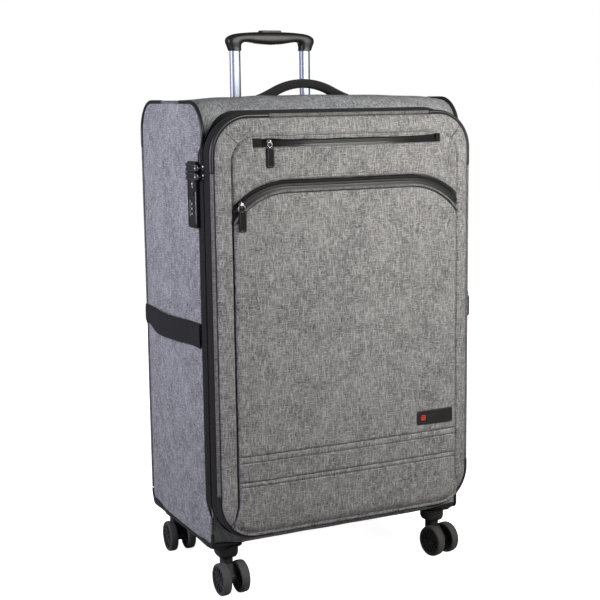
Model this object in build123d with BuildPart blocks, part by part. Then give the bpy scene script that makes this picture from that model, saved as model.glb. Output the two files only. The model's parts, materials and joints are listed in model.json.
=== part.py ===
from build123d import *
import math
import os

# A large soft-sided upright suitcase on four twin-wheel casters.
# Millimetres. x runs to the case's right, y to its back, z up.
# Origin: on the floor, under the middle of the whole suitcase, lid included.

os.makedirs("parts", exist_ok=True)

# ---- Driving dimensions -------------------------------------------------
case_width = 460.0
case_front = -117.0
case_back = 162.0
case_bottom = 83.0
case_top = 790.0
top_corner_r = 52.0
rear_corner_r = 20.0
front_corner_r = 8.0
least_corner_r = 1.0

fabric = 3.0
through = 60.0
board = 2.4
lining = 1.2
layer_gap = 0.1

mouth_back = -95.0
mouth_height = 668.0
mouth_mid_z = 437.0
mouth_corner_r = 62.0
band_wall = 2.5
zip_line = -118.75
zip_gap = 0.9
band_front = -144.5
piping_y = -148.5
piping_r = 3.0
panel_back = -150.0
panel_front = -153.0

wheel_r = 26.5
wheel_width = 14.5
wheel_spacing = 32.4
caster_x = 196.0
caster_y = 117.5
caster_mid_y = 25.0
caster_trail = 19.4

tube_x = 67.0
tube_y = 131.0
grip_bottom = 877.0
handle_y = 3.0

# Distances worked out from the driving dimensions
half_width = case_width / 2
running = 0.05
seam = 3.5
board_inset = fabric + layer_gap
board_inner = board_inset + board
lining_inset = board_inner + 0.3
lining_back = 113.0
lining_floor = 93.0
zip_back_edge = zip_line + zip_gap / 2
zip_front_edge = zip_line - zip_gap / 2

corners = {
    "front_left": (-1, -1, 1.0),
    "front_right": (1, -1, 11.0),
    "rear_left": (-1, 1, -3.0),
    "rear_right": (1, 1, 5.0),
}


# ---- Shared outlines ----------------------------------------------------
def side_outline(inset):
    """The case seen from the side; local x is +Y and local y is +Z."""
    depth = case_back - case_front - 2 * inset
    height = case_top - case_bottom - 2 * inset
    with BuildSketch() as outline:
        with Locations(((case_front + case_back) / 2, (case_bottom + case_top) / 2)):
            Rectangle(depth, height)
        fillet(outline.vertices().group_by(Axis.Y)[-1], top_corner_r - inset)
        lower = outline.vertices().group_by(Axis.Y)[0].sort_by(Axis.X)
        fillet(lower[0], max(front_corner_r - inset, least_corner_r))
        lower = outline.vertices().group_by(Axis.Y)[0].sort_by(Axis.X)
        fillet(lower[-1], rear_corner_r - inset)
    return outline.sketch


def mouth_outline(inset):
    """The rounded mouth and lid seen from the front; local x is +X, local y is +Z."""
    with BuildSketch() as outline:
        with Locations((0, mouth_mid_z)):
            RectangleRounded(
                case_width - 2 * inset, mouth_height - 2 * inset, mouth_corner_r - inset
            )
    return outline.sketch


def mouth_ring(outer_inset, inner_inset, back, front):
    """A tube with the mouth's outline, running from y = back forward to y = front."""
    with BuildPart() as ring:
        with BuildSketch(Plane.XZ.offset(-back)):
            add(mouth_outline(outer_inset))
            add(mouth_outline(inner_inset), mode=Mode.SUBTRACT)
        extrude(amount=back - front)
    return ring.part


def corner_sleeve(plane, start, corner, end, radius, bore_r, sleeve_r):
    """A tube bent round one corner of a piped seam, drawn in the plane's own x and y."""
    with BuildPart() as sleeve:
        with BuildLine(plane) as path:
            FilletPolyline(start, corner, end, radius=radius)
        with BuildSketch(Plane(path.line @ 0, z_dir=path.line % 0)):
            Circle(sleeve_r)
            Circle(bore_r, mode=Mode.SUBTRACT)
        sweep(path=path.line)
    return sleeve.part


# ---- Case: fabric, board and lining ------------------------------------
bezel_half = 96.0
bezel_front = 116.0
bezel_back = 150.0
bezel_floor = 752.0
bezel_clearance = 0.3
screw_r = 1.9
screw_hole_r = 2.1
screw_spots = [
    (sx * (caster_x + dx), caster_mid_y + sy * (caster_y + dy))
    for sx in (-1, 1)
    for sy in (-1, 1)
    for dx, dy in ((-17, -34), (4, -36), (24, -34))
]
lock_mid_y = -86.0
lock_width = 38.0
lock_bottom = 597.0
lock_top = 700.0
lock_box_back = -72.0
lock_box_front = -94.0
lock_box_bottom = 604.0
lock_box_top = 692.0

with BuildPart() as wrap_fabric:
    with BuildSketch(Plane.YZ):
        add(side_outline(0))
        add(side_outline(fabric), mode=Mode.SUBTRACT)
    extrude(amount=half_width - seam - 1.5, both=True)
    with BuildSketch(Plane.XZ.offset(-mouth_back)):
        add(mouth_outline(0))
    extrude(amount=through, mode=Mode.SUBTRACT)
    with BuildSketch(Plane.XY.offset(bezel_floor)):
        with Locations((0, (bezel_front + bezel_back) / 2)):
            Rectangle(
                2 * (bezel_half + bezel_clearance),
                bezel_back - bezel_front + 2 * bezel_clearance,
            )
    extrude(amount=through, mode=Mode.SUBTRACT)
    with BuildSketch(Plane.XY.offset(case_bottom - 1)):
        with Locations(*screw_spots):
            Circle(screw_hole_r)
    extrude(amount=20, mode=Mode.SUBTRACT)
wrap_fabric.part.label = "wrap_fabric"
export_step(wrap_fabric.part, "parts/wrap_fabric.step")

with BuildPart() as side_panel_left:
    with BuildSketch(Plane.YZ.offset(-half_width)):
        add(side_outline(seam))
    extrude(amount=fabric)
    with BuildSketch(Plane.XZ.offset(-mouth_back)):
        add(mouth_outline(0))
    extrude(amount=through, mode=Mode.SUBTRACT)
    with BuildSketch(Plane.YZ.offset(-half_width - 1)):
        with Locations(
            ((lock_box_front + lock_box_back) / 2, (lock_box_bottom + lock_box_top) / 2)
        ):
            Rectangle(lock_box_back - lock_box_front + 1, lock_box_top - lock_box_bottom + 1)
    extrude(amount=fabric + 2, mode=Mode.SUBTRACT)
side_panel_left.part.label = "side_panel_left"
export_step(side_panel_left.part, "parts/side_panel_left.step")

with BuildPart() as side_panel_right:
    with BuildSketch(Plane.YZ.offset(half_width - fabric)):
        add(side_outline(seam))
    extrude(amount=fabric)
    with BuildSketch(Plane.XZ.offset(-mouth_back)):
        add(mouth_outline(0))
    extrude(amount=through, mode=Mode.SUBTRACT)
side_panel_right.part.label = "side_panel_right"
export_step(side_panel_right.part, "parts/side_panel_right.step")

with BuildPart() as frame_board:
    with BuildSketch(Plane.YZ):
        add(side_outline(board_inset))
    extrude(amount=half_width - board_inset, both=True)
    with BuildSketch(Plane.YZ):
        add(side_outline(board_inner))
    extrude(amount=half_width - board_inner, both=True, mode=Mode.SUBTRACT)
    with BuildSketch(Plane.XZ.offset(-mouth_back - 0.2)):
        with Locations((0, mouth_mid_z)):
            Rectangle(2 * case_width, 2 * mouth_height)
    extrude(amount=through, mode=Mode.SUBTRACT)
    with BuildSketch(Plane.XY.offset(bezel_floor - 2)):
        with Locations((0, (bezel_front + bezel_back) / 2)):
            Rectangle(
                2 * (bezel_half + bezel_clearance),
                bezel_back - bezel_front + 2 * bezel_clearance,
            )
    extrude(amount=through, mode=Mode.SUBTRACT)
    with BuildSketch(Plane.XY.offset(case_bottom - 1)):
        with Locations(*screw_spots):
            Circle(screw_hole_r)
    extrude(amount=20, mode=Mode.SUBTRACT)
    with BuildSketch(Plane.YZ.offset(-half_width - 1)):
        with Locations(
            ((lock_box_front + lock_box_back) / 2, (lock_box_bottom + lock_box_top) / 2)
        ):
            Rectangle(lock_box_back - lock_box_front + 1, lock_box_top - lock_box_bottom + 1)
    extrude(amount=board_inner + 2, mode=Mode.SUBTRACT)
frame_board.part.label = "frame_board"
export_step(frame_board.part, "parts/frame_board.step")


def lining_block(inset):
    """The space inside the board, in front of the handle tubes, less the inset."""
    with BuildPart() as block:
        with BuildSketch(Plane.YZ):
            add(side_outline(lining_inset + inset))
            with Locations(((mouth_back + lining_back) / 2 - inset, case_top / 2 + lining_floor)):
                Rectangle(lining_back - mouth_back, case_top + 2 * inset, mode=Mode.INTERSECT)
        extrude(amount=half_width - lining_inset - inset, both=True)
        with BuildSketch(Plane.XY.offset(case_bottom)):
            Rectangle(2 * case_width, 2 * case_width)
        extrude(amount=lining_floor + inset - case_bottom, mode=Mode.SUBTRACT)
    return block.part


with BuildPart() as case_lining:
    add(lining_block(0))
    add(lining_block(lining), mode=Mode.SUBTRACT)
case_lining.part.label = "case_lining"
export_step(case_lining.part, "parts/case_lining.step")

# ---- Case: piped side seams ---------------------------------------------
seam_cord_r = 2.6
sleeve_bore_r = 2.7
sleeve_outer_r = 3.2
seam_x = half_width - 1.6
seam_low = 139.0
seam_high = 735.0
rear_sleeve_drop = 712.0
rear_sleeve_reach = 57.0
front_sleeve_reach = -18.0

with BuildPart() as side_pipings:
    for side in (-1, 1):
        with BuildLine(Plane.YZ.offset(side * seam_x)) as seam_path:
            FilletPolyline(
                (case_front, seam_low),
                (case_front, case_bottom),
                (case_back, case_bottom),
                (case_back, case_top),
                (case_front, case_top),
                (case_front, seam_high),
                radius=(front_corner_r, rear_corner_r, top_corner_r, top_corner_r),
            )
        with BuildSketch(Plane(seam_path.line @ 0, z_dir=seam_path.line % 0)):
            Circle(seam_cord_r)
        sweep(path=seam_path.line)
side_pipings.part.label = "side_pipings"
export_step(side_pipings.part, "parts/side_pipings.step")

with BuildPart() as side_piping_sleeves:
    for side in (-1, 1):
        seam_plane = Plane.YZ.offset(side * seam_x)
        add(
            corner_sleeve(
                seam_plane,
                (case_back, rear_sleeve_drop),
                (case_back, case_top),
                (rear_sleeve_reach, case_top),
                top_corner_r,
                sleeve_bore_r,
                sleeve_outer_r,
            )
        )
        add(
            corner_sleeve(
                seam_plane,
                (front_sleeve_reach, case_top),
                (case_front, case_top),
                (case_front, seam_high + 1),
                top_corner_r,
                sleeve_bore_r,
                sleeve_outer_r,
            )
        )
side_piping_sleeves.part.label = "side_piping_sleeves"
export_step(side_piping_sleeves.part, "parts/side_piping_sleeves.step")

# ---- Case: corner guards with caster sockets ----------------------------
guard_gap = 3.6
guard_wall = 2.4
guard_top = 92.0
guard_side_reach = 78.0
guard_end_reach = 60.0
socket_size = 36.0
socket_corner_r = 8.0
socket_chamfer = 4.0
socket_bottom = 58.0
kingpin_r = 4.0
kingpin_top = 81.0


def corner_guard(sx, sy):
    """A moulded shell round one bottom corner, with the caster's socket under it."""
    outside = guard_gap + guard_wall
    edge_y = case_front if sy < 0 else case_back
    with BuildPart() as guard:
        with BuildSketch(Plane.YZ):
            add(side_outline(-outside))
        extrude(amount=half_width + outside, both=True)
        with BuildSketch(Plane.YZ):
            add(side_outline(-guard_gap))
        extrude(amount=half_width + guard_gap, both=True, mode=Mode.SUBTRACT)
        with BuildSketch(Plane.XY):
            with Locations(
                (
                    sx * (half_width + outside - guard_end_reach / 2 - outside / 2),
                    edge_y + sy * (outside - guard_side_reach) / 2,
                )
            ):
                Rectangle(guard_end_reach + outside, guard_side_reach + outside)
        extrude(amount=guard_top, mode=Mode.INTERSECT)
        with BuildSketch(Plane.XY.offset(case_bottom - guard_gap)):
            with Locations((sx * caster_x, caster_mid_y + sy * caster_y)):
                RectangleRounded(socket_size, socket_size, socket_corner_r)
        extrude(amount=-(case_bottom - guard_gap - socket_bottom))
        chamfer(guard.faces().sort_by(Axis.Z)[0].edges(), socket_chamfer)
        with BuildSketch(Plane.XY.offset(socket_bottom - 1)):
            with Locations((sx * caster_x, caster_mid_y + sy * caster_y)):
                Circle(kingpin_r + running)
        extrude(amount=kingpin_top - socket_bottom + 1, mode=Mode.SUBTRACT)
        with BuildSketch(Plane.XY.offset(socket_bottom + 10)):
            with Locations(*screw_spots):
                Circle(screw_hole_r)
        extrude(amount=case_bottom - socket_bottom, mode=Mode.SUBTRACT)
    return guard.part


with BuildPart() as corner_guards_front:
    add(corner_guard(-1, -1))
    add(corner_guard(1, -1))
corner_guards_front.part.label = "corner_guards_front"
export_step(corner_guards_front.part, "parts/corner_guards_front.step")

with BuildPart() as corner_guards_rear:
    add(corner_guard(-1, 1))
    add(corner_guard(1, 1))
corner_guards_rear.part.label = "corner_guards_rear"
export_step(corner_guards_rear.part, "parts/corner_guards_rear.step")

screw_head_r = 3.6
screw_head = 1.8
screw_top = 91.0
guard_underside = case_bottom - guard_gap - guard_wall

with BuildPart() as guard_screws:
    with BuildSketch(Plane.XY.offset(guard_underside - screw_head - running)):
        with Locations(*screw_spots):
            Circle(screw_head_r)
    extrude(amount=screw_head)
    with BuildSketch(Plane.XY.offset(guard_underside - screw_head)):
        with Locations(*screw_spots):
            Circle(screw_r)
    extrude(amount=screw_top - guard_underside + screw_head)
guard_screws.part.label = "guard_screws"
export_step(guard_screws.part, "parts/guard_screws.step")

# ---- Casters ------------------------------------------------------------
fork_top = socket_bottom - 0.6
fork_neck_bottom = 41.0
fork_neck_r = 11.5
fork_neck_width = 16.8
fork_leg_width = 15.0
rivet_r = 5.6
rivet_head = 3.0
axle_r = 3.0
boss_r = 9.0
tyre_wall = 4.5
hub_bore_r = axle_r + 0.02
hub_boss_r = 8.0
slot_count = 12

with BuildPart() as caster_kingpins:
    with BuildSketch(Plane.XY.offset(fork_neck_bottom - running)):
        with Locations((0, caster_mid_y)):
            with GridLocations(2 * caster_x, 2 * caster_y, 2, 2):
                Circle(kingpin_r)
    extrude(amount=kingpin_top - 0.2 - fork_neck_bottom)
    with BuildSketch(Plane.XY.offset(fork_neck_bottom - running)):
        with Locations((0, caster_mid_y)):
            with GridLocations(2 * caster_x, 2 * caster_y, 2, 2):
                Circle(rivet_r)
    extrude(amount=-rivet_head)
caster_kingpins.part.label = "caster_kingpins"
export_step(caster_kingpins.part, "parts/caster_kingpins.step")

for corner_name, (sx, sy, heading) in corners.items():
    # The trail points forward at rest; heading turns it a few degrees about the kingpin.
    trail_angle = math.radians(heading - 90)
    pivot = Vector(sx * caster_x, caster_mid_y + sy * caster_y, 0)
    trail_dir = Vector(math.cos(trail_angle), math.sin(trail_angle), 0)
    axle_dir = Vector(-math.sin(trail_angle), math.cos(trail_angle), 0)
    axle_centre = pivot + trail_dir * caster_trail + Vector(0, 0, wheel_r)
    leg_plane = Plane(pivot, x_dir=trail_dir, z_dir=trail_dir.cross(Vector(0, 0, 1)))
    axle_plane = Plane(axle_centre, x_dir=trail_dir, z_dir=axle_dir)
    neck_origin = pivot + Vector(0, 0, fork_neck_bottom)
    neck_plane = Plane(neck_origin, x_dir=trail_dir, z_dir=Vector(0, 0, 1))

    with BuildPart() as caster_fork:
        with BuildSketch(leg_plane):
            with Locations((caster_trail, wheel_r)):
                Circle(boss_r)
            with Locations((2, fork_neck_bottom + 3)):
                Rectangle(2 * fork_neck_r - 2, 6)
            make_hull()
        extrude(amount=fork_leg_width / 2, both=True)
        with BuildSketch(neck_plane):
            Circle(fork_neck_r)
            Rectangle(2 * fork_neck_r, fork_neck_width, mode=Mode.INTERSECT)
        extrude(amount=fork_top - fork_neck_bottom)
        with BuildSketch(neck_plane):
            Circle(rivet_r + 0.8)
        extrude(amount=-20, mode=Mode.SUBTRACT)
        with BuildSketch(neck_plane.offset(-1)):
            Circle(kingpin_r + running)
        extrude(amount=20, mode=Mode.SUBTRACT)
        with BuildSketch(axle_plane):
            Circle(axle_r + running)
        extrude(amount=fork_leg_width, both=True, mode=Mode.SUBTRACT)
    caster_fork.part.label = f"caster_fork_{corner_name}"
    export_step(caster_fork.part, f"parts/caster_fork_{corner_name}.step")

    with BuildPart() as wheelset:
        with BuildSketch(axle_plane):
            Circle(axle_r)
        extrude(amount=wheel_spacing / 2 + wheel_width / 2 - 1.5, both=True)
        for side in (-1, 1):
            wheel_plane = axle_plane.offset(side * wheel_spacing / 2)
            hub_r = wheel_r - tyre_wall
            with BuildSketch(wheel_plane):
                Circle(wheel_r)
                Circle(hub_r + 0.05, mode=Mode.SUBTRACT)
            extrude(amount=wheel_width / 2, both=True)
            with BuildSketch(wheel_plane):
                Circle(hub_r)
                Circle(hub_bore_r, mode=Mode.SUBTRACT)
                with PolarLocations((hub_r + hub_boss_r) / 2, slot_count):
                    SlotOverall(hub_r - hub_boss_r - 4, 2.6, mode=Mode.SUBTRACT)
            extrude(amount=wheel_width / 2 - 1, both=True)
    wheelset.part.label = f"wheelset_{corner_name}"
    export_step(wheelset.part, f"parts/wheelset_{corner_name}.step")

# ---- Telescopic trolley handle ------------------------------------------
inner_tube = (19.4, 13.4)
inner_tube_wall = 1.2
outer_tube_wall = 1.5
tube_clearance = 0.1
inner_tube_bottom = 300.0
inner_tube_top = 886.0
outer_tube_bottom = 96.4
outer_tube_top = 751.0
socket_floor = 96.0
bracket_bottom = case_bottom + board_inner + 0.2
bracket_top = 112.0
pin_z = 312.0
pin_r = 2.5
pin_hole_r = 2.55
button_travel = 5.0
pin_travel = 2.0


def tube_slots(grow):
    """Both tubes' oval outline, grown outwards; local x and y are +X and +Y."""
    with BuildSketch() as slots:
        with Locations((-tube_x, tube_y), (tube_x, tube_y)):
            SlotOverall(inner_tube[0] + 2 * grow, inner_tube[1] + 2 * grow)
    return slots.sketch


with BuildPart() as trolley_outer_tubes:
    with BuildSketch(Plane.XY.offset(outer_tube_bottom)):
        add(tube_slots(tube_clearance + outer_tube_wall))
        add(tube_slots(tube_clearance), mode=Mode.SUBTRACT)
    extrude(amount=outer_tube_top - outer_tube_bottom)
trolley_outer_tubes.part.label = "trolley_outer_tubes"
export_step(trolley_outer_tubes.part, "parts/trolley_outer_tubes.step")

with BuildPart() as trolley_base_bracket:
    with BuildSketch(Plane.XY.offset(bracket_bottom)):
        with Locations((0, tube_y)):
            RectangleRounded(2 * tube_x + 40, 26, 5)
    extrude(amount=bracket_top - bracket_bottom)
    with BuildSketch(Plane.XY.offset(socket_floor)):
        add(tube_slots(tube_clearance + outer_tube_wall + running))
    extrude(amount=bracket_top - socket_floor, mode=Mode.SUBTRACT)
trolley_base_bracket.part.label = "trolley_base_bracket"
export_step(trolley_base_bracket.part, "parts/trolley_base_bracket.step")

with BuildPart() as trolley_top_bezel:
    with BuildSketch(Plane.YZ):
        add(side_outline(-0.8))
        with Locations(((bezel_front + bezel_back) / 2, bezel_floor + 30)):
            Rectangle(bezel_back - bezel_front, 60, mode=Mode.INTERSECT)
    extrude(amount=bezel_half, both=True)
    with BuildSketch(Plane.XY.offset(bezel_floor + 3)):
        with Locations((0, (bezel_front + bezel_back) / 2)):
            Rectangle(2 * bezel_half - 4, bezel_back - bezel_front - 4)
    extrude(amount=through, mode=Mode.SUBTRACT)
    with BuildSketch(Plane.XY.offset(bezel_floor - 1)):
        add(tube_slots(tube_clearance))
    extrude(amount=6, mode=Mode.SUBTRACT)
trolley_top_bezel.part.label = "trolley_top_bezel"
export_step(trolley_top_bezel.part, "parts/trolley_top_bezel.step")

with BuildPart() as trolley_inner_tubes:
    with BuildSketch(Plane.XY.offset(inner_tube_bottom)):
        add(tube_slots(0))
        add(tube_slots(-inner_tube_wall), mode=Mode.SUBTRACT)
    extrude(amount=inner_tube_top - inner_tube_bottom)
    with BuildSketch(Plane.XZ.offset(-tube_y - inner_tube[1])):
        with Locations((-tube_x, pin_z), (tube_x, pin_z)):
            Circle(pin_hole_r)
    extrude(amount=inner_tube[1], mode=Mode.SUBTRACT)
trolley_inner_tubes.part.label = "trolley_inner_tubes"
export_step(trolley_inner_tubes.part, "parts/trolley_inner_tubes.step")

# The grip is a slightly arched bar whose ends curve down into tube sockets.
grip_end = 83.0
grip_top = 907.5
grip_shoulder = (70.0, 900.5)
grip_side_z = 889.0
grip_inner_x = 53.0
grip_inner_z = 885.5
grip_sag_z = 882.0
grip_depth = 24.0
collar_half = 11.0
cavity_floor = 887.4
cavity_top = 897.8
cavity_half = 71.5
cavity_depth = 8.6
button_half = 20.0
button_depth = 14.0
button_bottom = 898.0
button_proud = 2.5

with BuildPart() as trolley_grip:
    with BuildSketch(Plane.XZ.offset(-tube_y)):
        with BuildLine() as half_grip:
            crown = ThreePointArc(
                (-grip_shoulder[0], grip_shoulder[1]), (0, grip_top), grip_shoulder
            )
            right_end = ThreePointArc(crown @ 1, (80, 896.5), (grip_end, grip_side_z))
            right_foot = Line(right_end @ 1, (tube_x + collar_half, grip_bottom))
            right_sole = Line(right_foot @ 1, (tube_x - collar_half, grip_bottom))
            right_inner = Line(right_sole @ 1, (grip_inner_x, grip_inner_z))
            belly = ThreePointArc(right_inner @ 1, (0, grip_sag_z), (-grip_inner_x, grip_inner_z))
            left_inner = Line(belly @ 1, (collar_half - tube_x, grip_bottom))
            left_sole = Line(left_inner @ 1, (-tube_x - collar_half, grip_bottom))
            left_foot = Line(left_sole @ 1, (-grip_end, grip_side_z))
            ThreePointArc(left_foot @ 1, (-80, 896.5), crown @ 0)
        make_face()
    extrude(amount=grip_depth / 2, both=True)
    with BuildSketch(Plane.XY.offset(grip_bottom - 1)):
        add(tube_slots(0.02))
    extrude(amount=cavity_floor + 1.6 - grip_bottom, mode=Mode.SUBTRACT)
    with BuildSketch(Plane.XY.offset(cavity_floor)):
        with Locations((0, tube_y)):
            Rectangle(2 * cavity_half, cavity_depth)
    extrude(amount=cavity_top - cavity_floor, mode=Mode.SUBTRACT)
    with BuildSketch(Plane.XY.offset(button_bottom - button_travel - 0.5)):
        with Locations((0, tube_y)):
            Rectangle(2 * button_half + 0.3, button_depth + 0.3)
    extrude(amount=40, mode=Mode.SUBTRACT)
trolley_grip.part.label = "trolley_grip"
export_step(trolley_grip.part, "parts/trolley_grip.step")

with BuildPart() as trolley_release_button:
    with BuildSketch(Plane.XY.offset(button_bottom)):
        with Locations((0, tube_y)):
            RectangleRounded(2 * button_half, button_depth, 3)
    extrude(amount=grip_top + button_proud - button_bottom)
    fillet(trolley_release_button.faces().sort_by(Axis.Z)[-1].edges(), 1.5)
trolley_release_button.part.label = "trolley_release_button"
export_step(trolley_release_button.part, "parts/trolley_release_button.step")

# Pressing the button pushes both rods down; a slanted slot in each rod's plate then
# draws its lock pin in, away from the outer tube.
rod_r = 2.6
cross_bar_bottom = 893.2
cross_bar = 4.4
cross_bar_depth = 8.0
cross_pin_r = 1.2
cross_pin_y = tube_y - 0.5
plate_depth = 6.4
plate_mid_y = tube_y - 1.6
plate_bottom = 303.0
plate_top = 324.0
plate_half = 1.5
pin_inner_end = tube_y - 3.0
pin_fork_end = tube_y + 4.2
pin_tip = tube_y + inner_tube[1] / 2 + running
cam_length = math.hypot(pin_travel, button_travel)
cam_angle = math.degrees(math.atan2(button_travel, -pin_travel))

with BuildPart() as push_rods:
    with BuildSketch(Plane.XY.offset(cross_bar_bottom)):
        with Locations((0, tube_y)):
            Rectangle(2 * tube_x + 6, cross_bar_depth)
    extrude(amount=cross_bar)
    with BuildSketch(Plane.XY.offset(plate_top - 4)):
        with Locations((-tube_x, tube_y), (tube_x, tube_y)):
            Circle(rod_r)
    extrude(amount=cross_bar_bottom - plate_top + 4)
    for side in (-1, 1):
        with BuildSketch(Plane.YZ.offset(side * tube_x)):
            with Locations((plate_mid_y, (plate_bottom + plate_top) / 2)):
                Rectangle(plate_depth, plate_top - plate_bottom)
            with Locations((cross_pin_y - pin_travel / 2, pin_z + button_travel / 2)):
                SlotCenterToCenter(
                    cam_length, 2 * cross_pin_r + 0.2, rotation=cam_angle, mode=Mode.SUBTRACT
                )
        extrude(amount=plate_half, both=True)
push_rods.part.label = "push_rods"
export_step(push_rods.part, "parts/push_rods.step")

with BuildPart() as tube_lock_pins:
    with BuildSketch(Plane.XZ.offset(-pin_tip)):
        with Locations((-tube_x, pin_z), (tube_x, pin_z)):
            Circle(pin_r)
    extrude(amount=pin_tip - pin_inner_end)
    with BuildSketch(Plane.XZ.offset(-pin_fork_end)):
        with Locations((-tube_x, pin_z), (tube_x, pin_z)):
            Rectangle(2 * plate_half + 0.2, 3 * pin_r)
    extrude(amount=pin_fork_end - pin_inner_end + 1, mode=Mode.SUBTRACT)
    for side in (-1, 1):
        with BuildSketch(Plane.YZ.offset(side * tube_x)):
            with Locations((cross_pin_y, pin_z)):
                Circle(cross_pin_r)
        extrude(amount=plate_half + 0.5, both=True)
tube_lock_pins.part.label = "tube_lock_pins"
export_step(tube_lock_pins.part, "parts/tube_lock_pins.step")

# ---- Top carry handle ---------------------------------------------------
handle_thick = 13.5
handle_arc_r = 112.0
handle_apex = 818.0
handle_pivot_z = 797.5
handle_foot_x = 67.0
handle_half_depth = 12.0
handle_neck_half = 4.6
handle_wide_from = 806.0
barrel_r = 4.6
barrel_length = 18.0
anchor_base = case_top + 0.1
anchor_plate = 2.0
ear_width = 3.0
ear_gap = 0.8
hinge_pin_r = 1.5
arch_centre_z = handle_apex - handle_arc_r

with BuildPart() as top_handle:
    for low_z, half_depth in (
        (handle_pivot_z, handle_neck_half),
        (handle_wide_from, handle_half_depth),
    ):
        with BuildSketch(Plane.XZ.offset(-handle_y)):
            with Locations((0, arch_centre_z)):
                Circle(handle_arc_r + handle_thick / 2)
                Circle(handle_arc_r - handle_thick / 2, mode=Mode.SUBTRACT)
            with Locations((0, low_z + case_top / 2)):
                Rectangle(case_width, case_top, mode=Mode.INTERSECT)
        extrude(amount=half_depth, both=True)
    with BuildSketch(Plane.YZ.offset(-handle_foot_x)):
        with Locations((handle_y, handle_pivot_z)):
            Circle(barrel_r)
    extrude(amount=barrel_length / 2, both=True)
    with BuildSketch(Plane.YZ.offset(handle_foot_x)):
        with Locations((handle_y, handle_pivot_z)):
            Circle(barrel_r)
    extrude(amount=barrel_length / 2, both=True)
    with BuildSketch(Plane.YZ):
        with Locations((handle_y, handle_pivot_z)):
            Circle(hinge_pin_r + running)
    extrude(amount=case_width / 2, both=True, mode=Mode.SUBTRACT)
top_handle.part.label = "top_handle"
export_step(top_handle.part, "parts/top_handle.step")

ear_x = barrel_length / 2 + ear_gap + ear_width / 2

with BuildPart() as handle_anchors:
    for side in (-1, 1):
        foot = side * handle_foot_x
        with BuildSketch(Plane.XY.offset(anchor_base)):
            with Locations((foot, handle_y)):
                RectangleRounded(barrel_length + 16, 30, 6)
        extrude(amount=anchor_plate)
        with BuildSketch(Plane.XY.offset(anchor_base)):
            with Locations((foot + side * ear_x, handle_y)):
                Rectangle(ear_width, 8)
        extrude(amount=handle_pivot_z + 4 - anchor_base)
        with BuildSketch(Plane.YZ.offset(foot)):
            with Locations((handle_y, handle_pivot_z)):
                Circle(hinge_pin_r)
        extrude(amount=side * ear_x)
handle_anchors.part.label = "handle_anchors"
export_step(handle_anchors.part, "parts/handle_anchors.step")

# ---- Side carry strap -----------------------------------------------------
strap_thick = 3.0
strap_height = 40.0
strap_mid_z = 426.0
strap_x = -half_width - 0.4 - strap_thick / 2
strap_bow = 13.0
strap_sewn_front = -65.0
strap_sewn_back = 143.0

with BuildPart() as side_strap:
    with BuildSketch(Plane.XY.offset(strap_mid_z - strap_height / 2)):
        with BuildLine():
            strap_front = Line((strap_x, mouth_back + 2), (strap_x, strap_sewn_front))
            strap_arc = ThreePointArc(
                strap_front @ 1,
                (strap_x - strap_bow, (strap_sewn_front + strap_sewn_back) / 2),
                (strap_x, strap_sewn_back),
            )
            Line(strap_arc @ 1, (strap_x, case_back - 5))
        trace(line_width=strap_thick)
    extrude(amount=strap_height)
side_strap.part.label = "side_strap"
export_step(side_strap.part, "parts/side_strap.step")

# ---- Lock with three number dials ---------------------------------------
lock_back = -half_width - 0.2
lock_face = -half_width - 6.3
lock_box_inner = -half_width + board_inner + 0.1
dial_zs = (634.5, 626.9, 619.3)
dial_r = 5.4
dial_x = -half_width - 2.2
dial_y = -87.0
dial_height = 5.2
dial_axle_r = 1.2
lock_button_z = 650.0
lock_button_width = 9.0
lock_button_height = 8.0
lock_button_travel = 2.0
lock_button_floor = -half_width - 0.4

with BuildPart() as lock_body:
    with BuildSketch(Plane.YZ.offset(lock_face)):
        with Locations((lock_mid_y, (lock_bottom + lock_top) / 2)):
            RectangleRounded(lock_width, lock_top - lock_bottom, 5)
    extrude(amount=lock_back - lock_face)
    with BuildSketch(Plane.YZ.offset(lock_back)):
        with Locations(
            ((lock_box_front + lock_box_back) / 2, (lock_box_bottom + lock_box_top) / 2)
        ):
            Rectangle(lock_box_back - lock_box_front, lock_box_top - lock_box_bottom)
    extrude(amount=lock_box_inner - lock_back)
    with BuildSketch(Plane.YZ.offset(lock_face - 1)):
        with Locations(*[(dial_y, z) for z in dial_zs]):
            Rectangle(2 * dial_r + 0.6, dial_height + 0.3)
    extrude(amount=dial_x + dial_r + 0.3 - lock_face + 1, mode=Mode.SUBTRACT)
    with BuildSketch(Plane.YZ.offset(lock_face - 1)):
        with Locations((dial_y, lock_button_z)):
            Rectangle(lock_button_width + 0.2, lock_button_height + 0.2)
    extrude(amount=lock_button_floor - lock_face + 1, mode=Mode.SUBTRACT)
    with BuildSketch(Plane.XY.offset(dial_zs[-1] - dial_height)):
        with Locations((dial_x, dial_y)):
            Circle(dial_axle_r)
    extrude(amount=dial_zs[0] - dial_zs[-1] + 2 * dial_height)
lock_body.part.label = "lock_body"
export_step(lock_body.part, "parts/lock_body.step")

for number, dial_z in enumerate(dial_zs, start=1):
    with BuildPart() as lock_dial:
        with BuildSketch(Plane.XY.offset(dial_z - dial_height / 2)):
            with Locations((dial_x, dial_y)):
                RegularPolygon(dial_r, 10)
                Circle(dial_axle_r + running, mode=Mode.SUBTRACT)
        extrude(amount=dial_height)
    lock_dial.part.label = f"lock_dial_{number}"
    export_step(lock_dial.part, f"parts/lock_dial_{number}.step")

with BuildPart() as lock_release_button:
    with BuildSketch(Plane.YZ.offset(lock_face - 0.8)):
        with Locations((dial_y, lock_button_z)):
            RectangleRounded(lock_button_width, lock_button_height, 1.5)
    extrude(amount=lock_button_floor - lock_button_travel - 0.1 - lock_face + 0.8)
lock_release_button.part.label = "lock_release_button"
export_step(lock_release_button.part, "parts/lock_release_button.step")

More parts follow.
